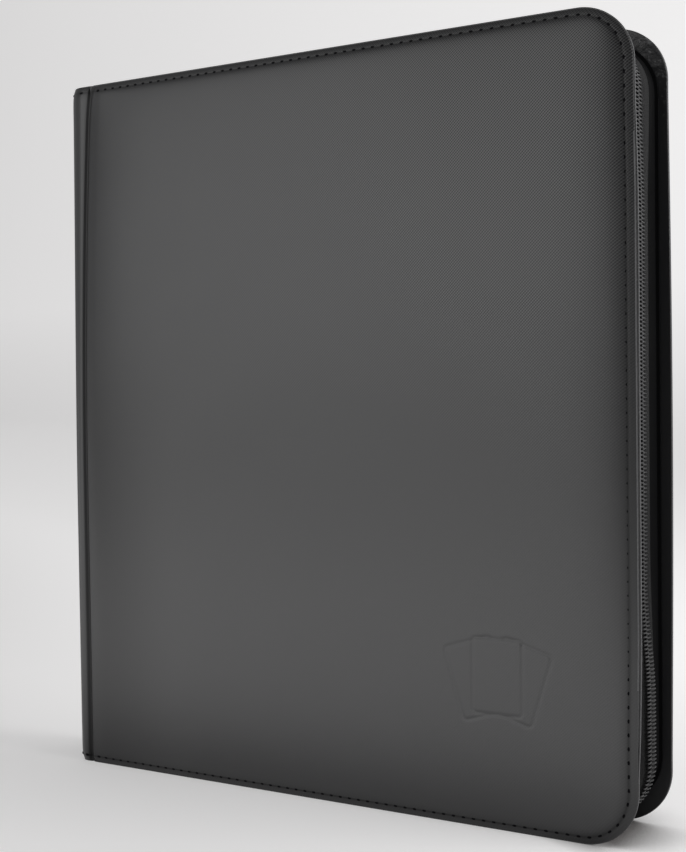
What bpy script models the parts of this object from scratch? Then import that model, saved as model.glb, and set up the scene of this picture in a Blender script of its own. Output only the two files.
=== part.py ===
"""Zip-around card binder with nine-pocket leaves.

The binder stands on the bottom edges of its covers. X runs from the spine (-X) to the opening side (+X),
the front cover faces -Y, and Z is up. The origin is the middle of the footprint, on the ground.
Depths are measured into a cover from the outer face of its rim.
"""

import math

import bmesh
import bpy
from mathutils import Vector

# Driving sizes, in metres ------------------------------------------------------------------------------
HEAD_ROOM = 0.021           # from the leaves to the head and foot of the covers
FORE_ROOM = 0.0375          # from the leaves to the covers' free edge
SPINE_ROOM = 0.0515         # from the pockets to the spine's outer face
RIM_DEPTH = 0.042           # outer face to outer face, at the cover rims
CORNER_RADIUS = 0.0238      # free corners of the covers
HINGE_CORNER_RADIUS = 0.002 # cover corners next to the spine
CREASE_SETBACK = 0.010      # spine back to each crease line
SPINE_RADIUS = 0.007        # rounded edges of the spine wrap

CLEARANCE = 0.0003          # between pieces that touch
LINING_SETBACK = 0.001      # from a crease line to the spine lining
MOVING_CLEARANCE = 0.0011   # between a cover lining and the nearest leaf

# Covers
SKIN = 0.0012
FOAM = 0.0022
BOARD = 0.0018
LINING = 0.0011
SEAM_INSET = 0.0045         # stitched hem, from the cover edge
CROWN = 0.0016              # how far the padding lifts the skin
CROWN_RUN = 0.040           # width over which it lifts
CROWN_STEPS = (0.04, 0.16, 0.36, 0.64, 1.0)
FLANGE_INSET = 0.0118       # width of the lining's flat flange
FLANGE_STEP = 0.0025        # width of the lining's step, from the flange to its panel
SKIN_EDGE = 0.0004          # softened outer edge of the skin

# Zip wall
WALL_INSET = 0.0057         # outer face of the gussets, from the covers' free edge
WALL_END_INSET = 0.0087     # the same, from the head and foot
WALL_RADIUS = 0.022         # outer face of the gussets, round the corners
WALL_START = 0.003          # from the crease line to the ends of the gussets and tapes
GUSSET = 0.001
GUSSET_DEPTH = 0.0082       # how far a gusset stands in from the lining flange
TAPE = 0.0006
TAPE_LAP = 0.0012           # tape hidden under the gusset
TAPE_GAP = 0.0008           # between the two tapes
COIL_HEIGHT = 0.0016
COIL_REACH = 0.003          # back of a coil, from the middle of the wall
TOOTH_PITCH = 0.0032
TOOTH_LENGTH = 0.0012
TOOTH_GAP = 0.0004          # between the meshed rows, along the binder's depth
TEETH_PER_PANEL = 6         # teeth that share one flat face of a coil
COIL_START_TOP_BACK = 0.009     # ends of the coils, from the crease line
COIL_START_TOP_FRONT = 0.0295
COIL_START_BOTTOM = 0.015
STOP_LENGTH = 0.0027
STOP_EDGE = 0.0003          # pressed edge of a stop

# Zip slider and pull
SLIDER_PARK = 0.0195        # middle of the slider, from the crease line
SLIDER_LENGTH = 0.013
SLIDER_NOSE = 0.0104        # widths of the slider plate
SLIDER_TAIL = 0.0086
SLIDER_PLATE = 0.0012
SLIDER_RIM = 0.0009
SLIDER_ROUND = 0.0004       # softened edges of the cast plate
LOWER_PLATE = 0.001
LOWER_PLATE_MARGIN = 0.0006 # how much smaller the lower plate is all round
CROWN_LENGTH = 0.0068       # bridge that holds the pull
CROWN_WIDTH = 0.0024
CROWN_BAR = 0.001
CROWN_OPENING = 0.002       # height under the bridge
PULL_LENGTH = 0.021
PULL_WIDTH = 0.0074
PULL_NECK = 0.0058
PULL = 0.0012
PULL_BAR = 0.0012           # cross bar that turns under the bridge
PULL_WINDOW = 0.0062        # length of the eye round the bridge
PULL_HOLE_RADIUS = 0.0013

# Leaves
LEAF_COUNT = 20
LEAF = 0.001
LEAF_MARGIN = 0.0065        # film past the welds, at head and foot
FILM = 0.00015
POCKET_GAP = 0.00025        # room inside a pocket
POCKET_WIDTH = 0.066
POCKET_HEIGHT = 0.091
POCKET_WELD = 0.003         # welded strip between pockets
POCKET_MOUTH = 0.003        # slit along a pocket's spine side
POCKET_ROWS = 3
POCKET_COLUMNS = 3
FIN = 0.0006
BINDING_BASE = 0.0025
CLOTH = 0.0006
CLOTH_MARGIN = 0.012        # ends of the binding cloth, from the head and foot of the spine
SPINE_MARGIN = 0.004        # ends of the spine's board and lining

ARC_STEPS = 8
NOSE_STEPS = 4

# Places that follow from them --------------------------------------------------------------------------
POCKETS_WIDTH = POCKET_COLUMNS * (POCKET_WIDTH + POCKET_WELD) + POCKET_WELD
POCKETS_HEIGHT = POCKET_ROWS * (POCKET_HEIGHT + POCKET_WELD) + POCKET_WELD
LEAF_HEIGHT = POCKETS_HEIGHT + 2 * LEAF_MARGIN
HEIGHT = LEAF_HEIGHT + 2 * HEAD_ROOM
WIDTH = SPINE_ROOM + POCKETS_WIDTH + FORE_ROOM
X_SPINE = -WIDTH / 2
X_EDGE = WIDTH / 2
X_CREASE = X_SPINE + CREASE_SETBACK
X_LEAF_EDGE = X_EDGE - FORE_ROOM
Y_RIM = RIM_DEPTH / 2
Y_CREASE = Y_RIM - SKIN / 2
X_COVER = X_CREASE + SKIN / 2 + CLEARANCE

FOAM_BASE = SKIN + CLEARANCE - CROWN + FOAM
BOARD_TOP = FOAM_BASE + CLEARANCE
LINING_PANEL = BOARD_TOP + BOARD + CLEARANCE
LINING_FLANGE = SKIN + CLEARANCE
PADDING_INSET = FLANGE_INSET + FLANGE_STEP + CLEARANCE
Y_PANEL = Y_RIM - LINING_PANEL - LINING

Y_GUSSET = Y_RIM - LINING_FLANGE - LINING - CLEARANCE
Y_GUSSET_EDGE = Y_GUSSET - GUSSET_DEPTH
SIDE_RUN = HEIGHT / 2 - WALL_END_INSET - WALL_RADIUS
CORNER_RUN = WALL_RADIUS * math.pi / 2
X_WALL_BEND = X_EDGE - WALL_INSET - WALL_RADIUS
Z_WALL_TOP = HEIGHT - WALL_END_INSET
TAPE_OUT = -GUSSET - CLEARANCE
COIL_OUT = TAPE_OUT + CLEARANCE + COIL_HEIGHT
SLIDER_OUT = COIL_OUT + CLEARANCE
CROWN_OUT = SLIDER_OUT + SLIDER_PLATE
PULL_AXIS_OUT = CROWN_OUT + CLEARANCE + PULL / 2

SPINE_BOARD_DEPTH = SKIN + CLEARANCE
SPINE_LINING_DEPTH = SPINE_BOARD_DEPTH + BOARD + CLEARANCE
X_CLOTH = X_SPINE + SPINE_LINING_DEPTH + LINING + CLEARANCE
X_BINDING = X_CLOTH + CLOTH + CLEARANCE
X_BINDING_TOP = X_BINDING + BINDING_BASE
LEAF_PITCH = 2 * (Y_PANEL - MOVING_CLEARANCE - LEAF / 2) / (LEAF_COUNT - 1)
LEAF_STAGGER = LEAF + CLEARANCE
LEAF_START = FIN / 2 + CLEARANCE
X_FIRST_FOLD = X_CREASE + (Y_CREASE - Y_PANEL) + MOVING_CLEARANCE + LEAF / 2
Z_MIDDLE = HEIGHT / 2


def clear_scene():
    for obj in list(bpy.data.objects):
        bpy.data.objects.remove(obj, do_unlink=True)


clear_scene()
binder = bpy.data.collections.new("trading_card_binder")
cutters = bpy.data.collections.new("cutters")
bpy.context.scene.collection.children.link(binder)
bpy.context.scene.collection.children.link(cutters)


# Shared tools ------------------------------------------------------------------------------------------
def finish(name, colour, roughness, metallic=0.0):
    """A Principled material of one colour."""
    material = bpy.data.materials.new(name)
    material.use_nodes = True
    shader = material.node_tree.nodes["Principled BSDF"]
    shader.inputs["Base Color"].default_value = (*colour, 1.0)
    shader.inputs["Roughness"].default_value = roughness
    shader.inputs["Metallic"].default_value = metallic
    return material


def axis_empty(name, location, parent=None):
    """An empty on a joint's axis, that carries the pieces of one body."""
    empty = bpy.data.objects.new(name, None)
    empty.location = location
    empty.empty_display_size = 0.02
    binder.objects.link(empty)
    if parent:
        attach(empty, parent)
    return empty


def attach(obj, parent):
    """Parent a piece without moving it."""
    bpy.context.view_layer.update()
    obj.parent = parent
    obj.matrix_parent_inverse = parent.matrix_world.inverted()


def add_piece(name, bm, material, parent=None, smooth=True, location=(0, 0, 0)):
    """Turn a finished bmesh into a named piece."""
    mesh = bpy.data.meshes.new(name)
    bm.to_mesh(mesh)
    bm.free()
    obj = bpy.data.objects.new(name, mesh)
    obj.location = location
    obj.data.materials.append(material)
    binder.objects.link(obj)
    if smooth:
        mesh.shade_smooth()
        mesh.set_sharp_from_angle(angle=math.radians(35))
    if parent:
        attach(obj, parent)
    return obj


def cut(obj, cutter):
    """Cut a piece with a hidden cutter."""
    for collection in list(cutter.users_collection):
        collection.objects.unlink(cutter)
    cutters.objects.link(cutter)
    cutter.hide_render = True
    cutter.display_type = "WIRE"
    modifier = obj.modifiers.new(cutter.name, "BOOLEAN")
    modifier.operation = "DIFFERENCE"
    modifier.object = cutter


def add_cutter(name, bm):
    mesh = bpy.data.meshes.new(name)
    bm.to_mesh(mesh)
    bm.free()
    return bpy.data.objects.new(name, mesh)


def arc(cx, cy, radius, start, end, steps):
    """Points of an arc, with angles in degrees."""
    points = []
    for step in range(steps + 1):
        angle = math.radians(start + (end - start) * step / steps)
        points.append((cx + radius * math.cos(angle), cy + radius * math.sin(angle)))
    return points


def extrude_outline(points, place, travel):
    """A flat outline of 2D points, placed by a function and extruded along a vector."""
    bm = bmesh.new()
    face = bm.faces.new([bm.verts.new(place(*point)) for point in points])
    grown = bmesh.ops.extrude_face_region(bm, geom=[face])
    moved = [item for item in grown["geom"] if isinstance(item, bmesh.types.BMVert)]
    bmesh.ops.translate(bm, verts=moved, vec=travel)
    bmesh.ops.recalc_face_normals(bm, faces=bm.faces)
    return bm


def sheet_along(points, place, travel):
    """An open surface: a chain of 2D points, placed by a function and extruded along a vector."""
    bm = bmesh.new()
    verts = [bm.verts.new(place(*point)) for point in points]
    edges = [bm.edges.new(pair) for pair in zip(verts, verts[1:])]
    grown = bmesh.ops.extrude_edge_only(bm, edges=edges)
    moved = [item for item in grown["geom"] if isinstance(item, bmesh.types.BMVert)]
    bmesh.ops.translate(bm, verts=moved, vec=travel)
    return bm


def thicken(obj, thickness):
    """Solidify a surface evenly to both sides."""
    solidify = obj.modifiers.new("thickness", "SOLIDIFY")
    solidify.thickness = thickness
    solidify.offset = 0
    solidify.use_even_offset = True


def loft(rings):
    """A closed skin through rings that have the same number of points, capped at both ends."""
    bm = bmesh.new()
    loops = [[bm.verts.new(point) for point in ring] for ring in rings]
    count = len(loops[0])
    for inner, outer in zip(loops, loops[1:]):
        for i in range(count):
            j = (i + 1) % count
            bm.faces.new((inner[i], inner[j], outer[j], outer[i]))
    bm.faces.new(loops[0])
    bm.faces.new(loops[-1])
    bmesh.ops.recalc_face_normals(bm, faces=bm.faces)
    return bm


# Covers ------------------------------------------------------------------------------------------------
def cover_outline(inset):
    """Cover outline in X and Z, moved in by an inset."""
    left = X_COVER + inset
    right = X_EDGE - inset
    bottom = inset
    top = HEIGHT - inset
    free = max(CORNER_RADIUS - inset, HINGE_CORNER_RADIUS)
    hinge = HINGE_CORNER_RADIUS
    points = arc(right - free, top - free, free, 0, 90, ARC_STEPS)
    points += arc(left + hinge, top - hinge, hinge, 90, 180, 2)
    points += arc(left + hinge, bottom + hinge, hinge, 180, 270, 2)
    points += arc(right - free, bottom + free, free, 270, 360, ARC_STEPS)
    return points


def cover_ring(side, inset, depth):
    """Cover outline at a depth into the front (side -1) or back (side 1) cover."""
    return [Vector((x, side * (Y_RIM - depth), z)) for x, z in cover_outline(inset)]


def crown_height(inset):
    """Lift of the padded skin at an inset from the cover edge."""
    share = min(max((inset - SEAM_INSET) / CROWN_RUN, 0), 1)
    return CROWN * math.sqrt(1 - (1 - share) ** 2)


def make_skin(name, side, material, parent):
    insets = [SEAM_INSET + CROWN_RUN * step for step in reversed(CROWN_STEPS)] + [SEAM_INSET]
    rings = [cover_ring(side, inset, -crown_height(inset)) for inset in insets]
    rings.append(cover_ring(side, SKIN_EDGE, 0))
    rings.append(cover_ring(side, 0, SKIN_EDGE))
    rings.append(cover_ring(side, 0, SKIN))
    rings += [cover_ring(side, inset, SKIN - crown_height(inset)) for inset in reversed(insets)]
    return add_piece(name, loft(rings), material, parent)


def make_foam(name, side, material, parent):
    tops = [SEAM_INSET + CROWN_RUN * step for step in reversed(CROWN_STEPS)]
    insets = [inset for inset in tops if inset > PADDING_INSET] + [PADDING_INSET]
    lift = SKIN + CLEARANCE
    rings = [cover_ring(side, inset, lift - crown_height(inset)) for inset in insets]
    rings.append(cover_ring(side, PADDING_INSET, FOAM_BASE))
    return add_piece(name, loft(rings), material, parent)


def make_board(name, side, material, parent):
    y_top = side * (Y_RIM - BOARD_TOP)
    travel = Vector((0, -side * BOARD, 0))
    bm = extrude_outline(cover_outline(PADDING_INSET), lambda x, z: (x, y_top, z), travel)
    return add_piece(name, bm, material, parent)


def make_lining(name, side, material, parent):
    panel = FLANGE_INSET + FLANGE_STEP
    rings = [
        cover_ring(side, panel, LINING_PANEL),
        cover_ring(side, FLANGE_INSET, LINING_FLANGE),
        cover_ring(side, 0, LINING_FLANGE),
        cover_ring(side, 0, LINING_FLANGE + LINING),
        cover_ring(side, FLANGE_INSET - LINING / 2, LINING_FLANGE + LINING),
        cover_ring(side, panel - LINING / 2, LINING_PANEL + LINING),
    ]
    # The panel's inner face is drawn in by half the sheet, so the step keeps its thickness.
    return add_piece(name, loft(rings), material, parent)


# Zip wall ----------------------------------------------------------------------------------------------
def wall_point(run, out):
    """Point of the zip wall in X and Z: run from the middle of the free side, and distance outward."""
    up = 1 if run >= 0 else -1
    along = abs(run) - SIDE_RUN
    if along <= 0:
        return (X_EDGE - WALL_INSET + out, Z_MIDDLE + run)
    radius = WALL_RADIUS + out
    angle = min(along / WALL_RADIUS, math.pi / 2)
    past = max(along - CORNER_RUN, 0)
    x = X_WALL_BEND + radius * math.cos(angle) - past
    z = Z_MIDDLE + up * (SIDE_RUN + radius * math.sin(angle))
    return (x, z)


def run_to(x):
    """Run along the wall, up or down, to a place on its straight top or bottom."""
    return SIDE_RUN + CORNER_RUN + X_WALL_BEND - x


def make_wall_strip(name, side, y_from, y_to, out, thickness, material, parent):
    """A strip that runs round the wall, with its outer face at a distance outward."""
    end = run_to(X_CREASE + WALL_START)
    runs = [-end]
    runs += [-SIDE_RUN - CORNER_RUN * (1 - i / ARC_STEPS) for i in range(ARC_STEPS + 1)]
    runs += [SIDE_RUN + CORNER_RUN * i / ARC_STEPS for i in range(ARC_STEPS + 1)]
    runs += [end]
    middle = out - thickness / 2
    points = [wall_point(run, middle) for run in runs]
    travel = Vector((0, side * (y_to - y_from), 0))
    bm = sheet_along(points, lambda x, z: (x, side * y_from, z), travel)
    strip = add_piece(name, bm, material, parent)
    thicken(strip, thickness)
    return strip


def tooth_offset(step):
    """Zigzag of the meshed teeth, half a pitch for each step."""
    return TOOTH_LENGTH / 2 if step % 2 else -TOOTH_LENGTH / 2


def make_coil(name, side, x_top, x_bottom, material, parent):
    """Half a zip chain: a bar with a toothed edge that meshes with the other half."""
    half_pitch = TOOTH_PITCH / 2
    first = -int(run_to(x_bottom) / half_pitch)
    last = int(run_to(x_top) / half_pitch)
    middle = COIL_OUT - COIL_HEIGHT / 2
    bm = bmesh.new()
    rear = []
    tips = []
    for step in range(first, last + 1):
        x, z = wall_point(step * half_pitch, middle)
        rear.append(bm.verts.new((x, side * COIL_REACH, z)))
        tips.append(bm.verts.new((x, tooth_offset(step) + side * TOOTH_GAP / 2, z)))
    for i in range(len(rear) - 1):
        bm.faces.new((rear[i], rear[i + 1], tips[i + 1], tips[i]))
    merge_flat_panels(bm, rear, tips, first)
    coil = add_piece(name, bm, material, parent, smooth=False)
    thicken(coil, COIL_HEIGHT)
    return coil


def merge_flat_panels(bm, rear, tips, first):
    """Join the faces behind several teeth, where the wall is straight."""
    group = TEETH_PER_PANEL * 2
    half_pitch = TOOTH_PITCH / 2
    spare = []
    for i in range(1, len(rear) - 1):
        run = abs(first + i) * half_pitch
        bent = SIDE_RUN - half_pitch < run < SIDE_RUN + CORNER_RUN + half_pitch
        if not bent and i % group:
            spare.append(i)
    lines = [edge for i in spare for edge in rear[i].link_edges if tips[i] in edge.verts]
    bmesh.ops.dissolve_edges(bm, edges=lines, use_verts=False)
    bmesh.ops.dissolve_verts(bm, verts=[rear[i] for i in spare])


def make_stop(name, side, x_end, top, material, parent):
    """A pressed metal stop that closes the end of a coil."""
    z_wall = Z_WALL_TOP if top else WALL_END_INSET
    up = 1 if top else -1
    bm = bmesh.new()
    bmesh.ops.create_cube(bm, size=1)
    size = Vector((STOP_LENGTH, COIL_REACH - TAPE_GAP / 2, COIL_HEIGHT))
    bmesh.ops.scale(bm, vec=size, verts=bm.verts)
    x = x_end - CLEARANCE - STOP_LENGTH / 2
    y = side * (COIL_REACH + TAPE_GAP / 2) / 2
    z = z_wall + up * (COIL_OUT - COIL_HEIGHT / 2)
    stop = add_piece(name, bm, material, parent, location=(x, y, z))
    bevel = stop.modifiers.new("pressed_edges", "BEVEL")
    bevel.width = STOP_EDGE
    bevel.segments = 1
    return stop


# Zip slider --------------------------------------------------------------------------------------------
def slider_outline(margin):
    """Slider plate from above: a wide nose with shoulders towards the spine, and a narrower tail."""
    nose = SLIDER_LENGTH / 2 - margin
    shoulder = SLIDER_LENGTH * 0.1
    half_nose = SLIDER_NOSE / 2 - margin
    half_tail = SLIDER_TAIL / 2 - margin
    side = [(-nose, half_nose * 0.62), (-nose * 0.72, half_nose), (-shoulder, half_nose)]
    side += [(nose * 0.35, half_tail), (nose * 0.86, half_tail), (nose, half_tail * 0.72)]
    return side + [(x, -y) for x, y in reversed(side)]


def make_slider(material, parent):
    """Upper plate with two rims that straddle the coils, and a bridge for the pull."""
    x_mid = X_CREASE + SLIDER_PARK
    z_wall = Z_WALL_TOP
    z_low = z_wall + TAPE_OUT + CLEARANCE
    z_top = z_wall + CROWN_OUT
    bm = extrude_outline(slider_outline(0), lambda x, y: (x, y, z_low - z_wall),
                         Vector((0, 0, z_top - z_low)))
    slider = add_piece("zip_slider", bm, material, parent, location=(x_mid, 0, z_wall))
    round_over = slider.modifiers.new("cast_edges", "BEVEL")
    round_over.width = SLIDER_ROUND
    round_over.segments = 1
    round_over.limit_method = "ANGLE"
    round_over.angle_limit = math.radians(60)
    channel = SLIDER_TAIL / 2 - SLIDER_RIM
    tunnel = [(-SLIDER_LENGTH, -channel), (SLIDER_LENGTH, -channel),
              (SLIDER_LENGTH, channel), (-SLIDER_LENGTH, channel)]
    tunnel_cut = extrude_outline(tunnel, lambda x, y: (x_mid + x, y, z_low - COIL_HEIGHT),
                                 Vector((0, 0, COIL_HEIGHT + SLIDER_OUT - TAPE_OUT - CLEARANCE)))
    cut(slider, add_cutter("slider_tunnel", tunnel_cut))
    add_bridge(slider, x_mid, z_top)
    return slider


def add_bridge(slider, x_mid, z_top):
    """The bridge, an arch in X and Z, joined to the slider plate."""
    half = CROWN_LENGTH / 2
    opening = half - CROWN_BAR
    sunk = -SLIDER_PLATE / 2
    rise = CROWN_OPENING + CROWN_BAR
    outer = [(-half, sunk), (-half, rise * 0.55), (-half * 0.62, rise),
             (half * 0.62, rise), (half, rise * 0.55), (half, sunk)]
    inner = [(opening, sunk), (opening, CROWN_OPENING * 0.6), (opening * 0.75, CROWN_OPENING),
             (-opening * 0.75, CROWN_OPENING), (-opening, CROWN_OPENING * 0.6), (-opening, sunk)]
    bm = extrude_outline(outer + inner, lambda x, z: (x_mid + x, -CROWN_WIDTH / 2, z_top + z),
                         Vector((0, CROWN_WIDTH, 0)))
    bridge = add_cutter("slider_bridge", bm)
    cutters.objects.link(bridge)
    bridge.hide_render = True
    bridge.display_type = "WIRE"
    union = slider.modifiers.new("bridge", "BOOLEAN")
    union.operation = "UNION"
    union.object = bridge


def make_slider_base(material, parent):
    """Lower plate of the slider, on the inside of the tapes."""
    x_mid = X_CREASE + SLIDER_PARK
    z = Z_WALL_TOP + TAPE_OUT - TAPE - CLEARANCE
    bm = extrude_outline(slider_outline(LOWER_PLATE_MARGIN), lambda x, y: (x, y, 0),
                         Vector((0, 0, -LOWER_PLATE)))
    return add_piece("zip_slider_base", bm, material, parent, location=(x_mid, 0, z))


def make_pull(material, parent):
    """Flat tab with an eye round the bridge, a waist, and a hole for a cord."""
    half_bar = PULL_BAR / 2
    neck = PULL_NECK / 2
    wide = PULL_WIDTH / 2
    window_end = half_bar + PULL_WINDOW
    tip = PULL_LENGTH - half_bar
    side = [(-half_bar, neck * 0.7), (0, neck), (window_end, neck), (window_end + wide, wide),
            (tip - wide * 0.6, wide), (tip, wide * 0.55)]
    outline = side + [(x, -y) for x, y in reversed(side)]
    x_mid = X_CREASE + SLIDER_PARK
    z_axis = Z_WALL_TOP + PULL_AXIS_OUT
    bm = extrude_outline(outline, lambda x, y: (x, y, -PULL / 2), Vector((0, 0, PULL)))
    pull = add_piece("zip_pull", bm, material, parent, location=(x_mid, 0, z_axis))
    eye_half = CROWN_WIDTH / 2 + CLEARANCE
    eye = [(half_bar, -eye_half), (window_end, -eye_half), (window_end, eye_half), (half_bar, eye_half)]
    eye_cut = extrude_outline(eye, lambda x, y: (x_mid + x, y, z_axis - PULL), Vector((0, 0, 2 * PULL)))
    cut(pull, add_cutter("pull_eye", eye_cut))
    hole = arc(tip - wide, 0, PULL_HOLE_RADIUS, 0, 360, 12)[:-1]
    hole_cut = extrude_outline(hole, lambda x, y: (x_mid + x, y, z_axis - PULL), Vector((0, 0, 2 * PULL)))
    cut(pull, add_cutter("pull_hole", hole_cut))
    return pull


# Spine -------------------------------------------------------------------------------------------------
def spine_path(depth, x_end):
    """C section of the spine at a depth under its outer face, from the front crease to the back."""
    radius = max(SPINE_RADIUS - depth, CLEARANCE)
    x_back = X_SPINE + depth
    y_side = Y_RIM - depth
    points = [(x_end, -y_side)]
    points += arc(x_back + radius, -y_side + radius, radius, 270, 180, ARC_STEPS // 2)
    points += arc(x_back + radius, y_side - radius, radius, 180, 90, ARC_STEPS // 2)
    return points + [(x_end, y_side)]


def make_spine_wrap(name, outline, margin, material, parent):
    """A layer of the spine, from its closed outline in X and Y."""
    bm = extrude_outline(outline, lambda x, y: (x, y, margin), Vector((0, 0, HEIGHT - 2 * margin)))
    return add_piece(name, bm, material, parent)


def skin_outline():
    """The wrap's long edges are rounded round the crease lines, where the covers turn on them."""
    outline = spine_path(0, X_CREASE)
    outline += arc(X_CREASE, Y_CREASE, SKIN / 2, 90, -90, NOSE_STEPS)[1:-1]
    outline += reversed(spine_path(SKIN, X_CREASE))
    return outline + arc(X_CREASE, -Y_CREASE, SKIN / 2, 90, -90, NOSE_STEPS)[1:-1]


def lining_outline():
    x_end = X_CREASE - LINING_SETBACK
    outline = spine_path(SPINE_LINING_DEPTH, x_end)
    return outline + list(reversed(spine_path(SPINE_LINING_DEPTH + LINING, x_end)))


def make_slab(name, x_from, thickness, half_depth, margin, material, parent):
    """A flat upright strip behind the leaves."""
    outline = [(-half_depth, margin), (half_depth, margin),
               (half_depth, HEIGHT - margin), (-half_depth, HEIGHT - margin)]
    bm = extrude_outline(outline, lambda y, z: (x_from, y, z), Vector((thickness, 0, 0)))
    return add_piece(name, bm, material, parent, smooth=False)


# Leaves ------------------------------------------------------------------------------------------------
def leaf_y(index):
    """Place of a leaf, from the back of the stack to the front."""
    return LEAF_PITCH * ((LEAF_COUNT - 1) / 2 - index)


def leaf_fold_x(index):
    """Fold line of a leaf: the inner leaves fold farther from the spine, so the open halves stack flat."""
    return X_FIRST_FOLD + LEAF_STAGGER * min(index, LEAF_COUNT - 1 - index)


def make_binding(material, parent):
    """Welded page margins: a base strip with a fin for each leaf."""
    half = leaf_y(0) + LEAF / 2
    outline = [(X_BINDING, half), (X_BINDING, -half), (X_BINDING_TOP, -half)]
    for index in reversed(range(LEAF_COUNT)):
        y = leaf_y(index)
        outline.append((X_BINDING_TOP, y - FIN / 2))
        outline += arc(leaf_fold_x(index), y, FIN / 2, -90, 90, NOSE_STEPS)
        outline.append((X_BINDING_TOP, y + FIN / 2))
    outline.append((X_BINDING_TOP, half))
    low = Z_MIDDLE - LEAF_HEIGHT / 2
    bm = extrude_outline(outline, lambda x, y: (x, y, low), Vector((0, 0, LEAF_HEIGHT)))
    return add_piece("page_binding", bm, material, parent, smooth=False)


def pocket_cutters():
    """Every pocket of a leaf: a flat room under the film, with a slit along its spine side."""
    bm = bmesh.new()
    skin_y = LEAF / 2
    roof = skin_y - FILM
    floor = roof - POCKET_GAP
    over = skin_y + FILM
    for face in (-1, 1):
        for column in range(POCKET_COLUMNS):
            for row in range(POCKET_ROWS):
                x = X_LEAF_EDGE - POCKETS_WIDTH + POCKET_WELD + column * (POCKET_WIDTH + POCKET_WELD)
                z = -POCKETS_HEIGHT / 2 + POCKET_WELD + row * (POCKET_HEIGHT + POCKET_WELD)
                section = [(x, over), (x, floor), (x + POCKET_WIDTH, floor),
                           (x + POCKET_WIDTH, roof), (x + POCKET_MOUTH, roof), (x + POCKET_MOUTH, over)]
                add_prism(bm, section, face, z)
    bmesh.ops.recalc_face_normals(bm, faces=bm.faces)
    return bm


def add_prism(bm, section, face, z):
    """Extrude one pocket's section up, into a shared bmesh."""
    base = bm.faces.new([bm.verts.new((x, face * y, z)) for x, y in section])
    grown = bmesh.ops.extrude_face_region(bm, geom=[base])
    moved = [item for item in grown["geom"] if isinstance(item, bmesh.types.BMVert)]
    bmesh.ops.translate(bm, verts=moved, vec=(0, 0, POCKET_HEIGHT))


def cut_leaf_mesh():
    """The mesh that all leaves share, apart from their inner edge."""
    bm = bmesh.new()
    bmesh.ops.create_cube(bm, size=1)
    x_inner = leaf_fold_x(0)
    bmesh.ops.scale(bm, vec=(X_LEAF_EDGE - x_inner, LEAF, LEAF_HEIGHT), verts=bm.verts)
    bmesh.ops.translate(bm, vec=((X_LEAF_EDGE + x_inner) / 2, 0, 0), verts=bm.verts)
    blank = add_cutter("leaf_blank", bm)
    cutters.objects.link(blank)
    blank.hide_render = True
    blank.display_type = "WIRE"
    cut(blank, add_cutter("leaf_pockets", pocket_cutters()))
    graph = bpy.context.evaluated_depsgraph_get()
    mesh = bpy.data.meshes.new_from_object(blank.evaluated_get(graph))
    mesh.name = "leaf"
    return mesh


def make_leaf(index, pattern, material, parent):
    """One leaf, with its origin on its fold line."""
    fold = leaf_fold_x(index)
    bm = bmesh.new()
    bm.from_mesh(pattern)
    inner = min(vert.co.x for vert in bm.verts)
    for vert in bm.verts:
        if vert.co.x < inner + LEAF_START:
            vert.co.x = fold + LEAF_START
        vert.co.x -= fold
    name = f"leaf_{index + 1:02d}"
    return add_piece(name, bm, material, parent, smooth=False, location=(fold, leaf_y(index), Z_MIDDLE))


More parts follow.
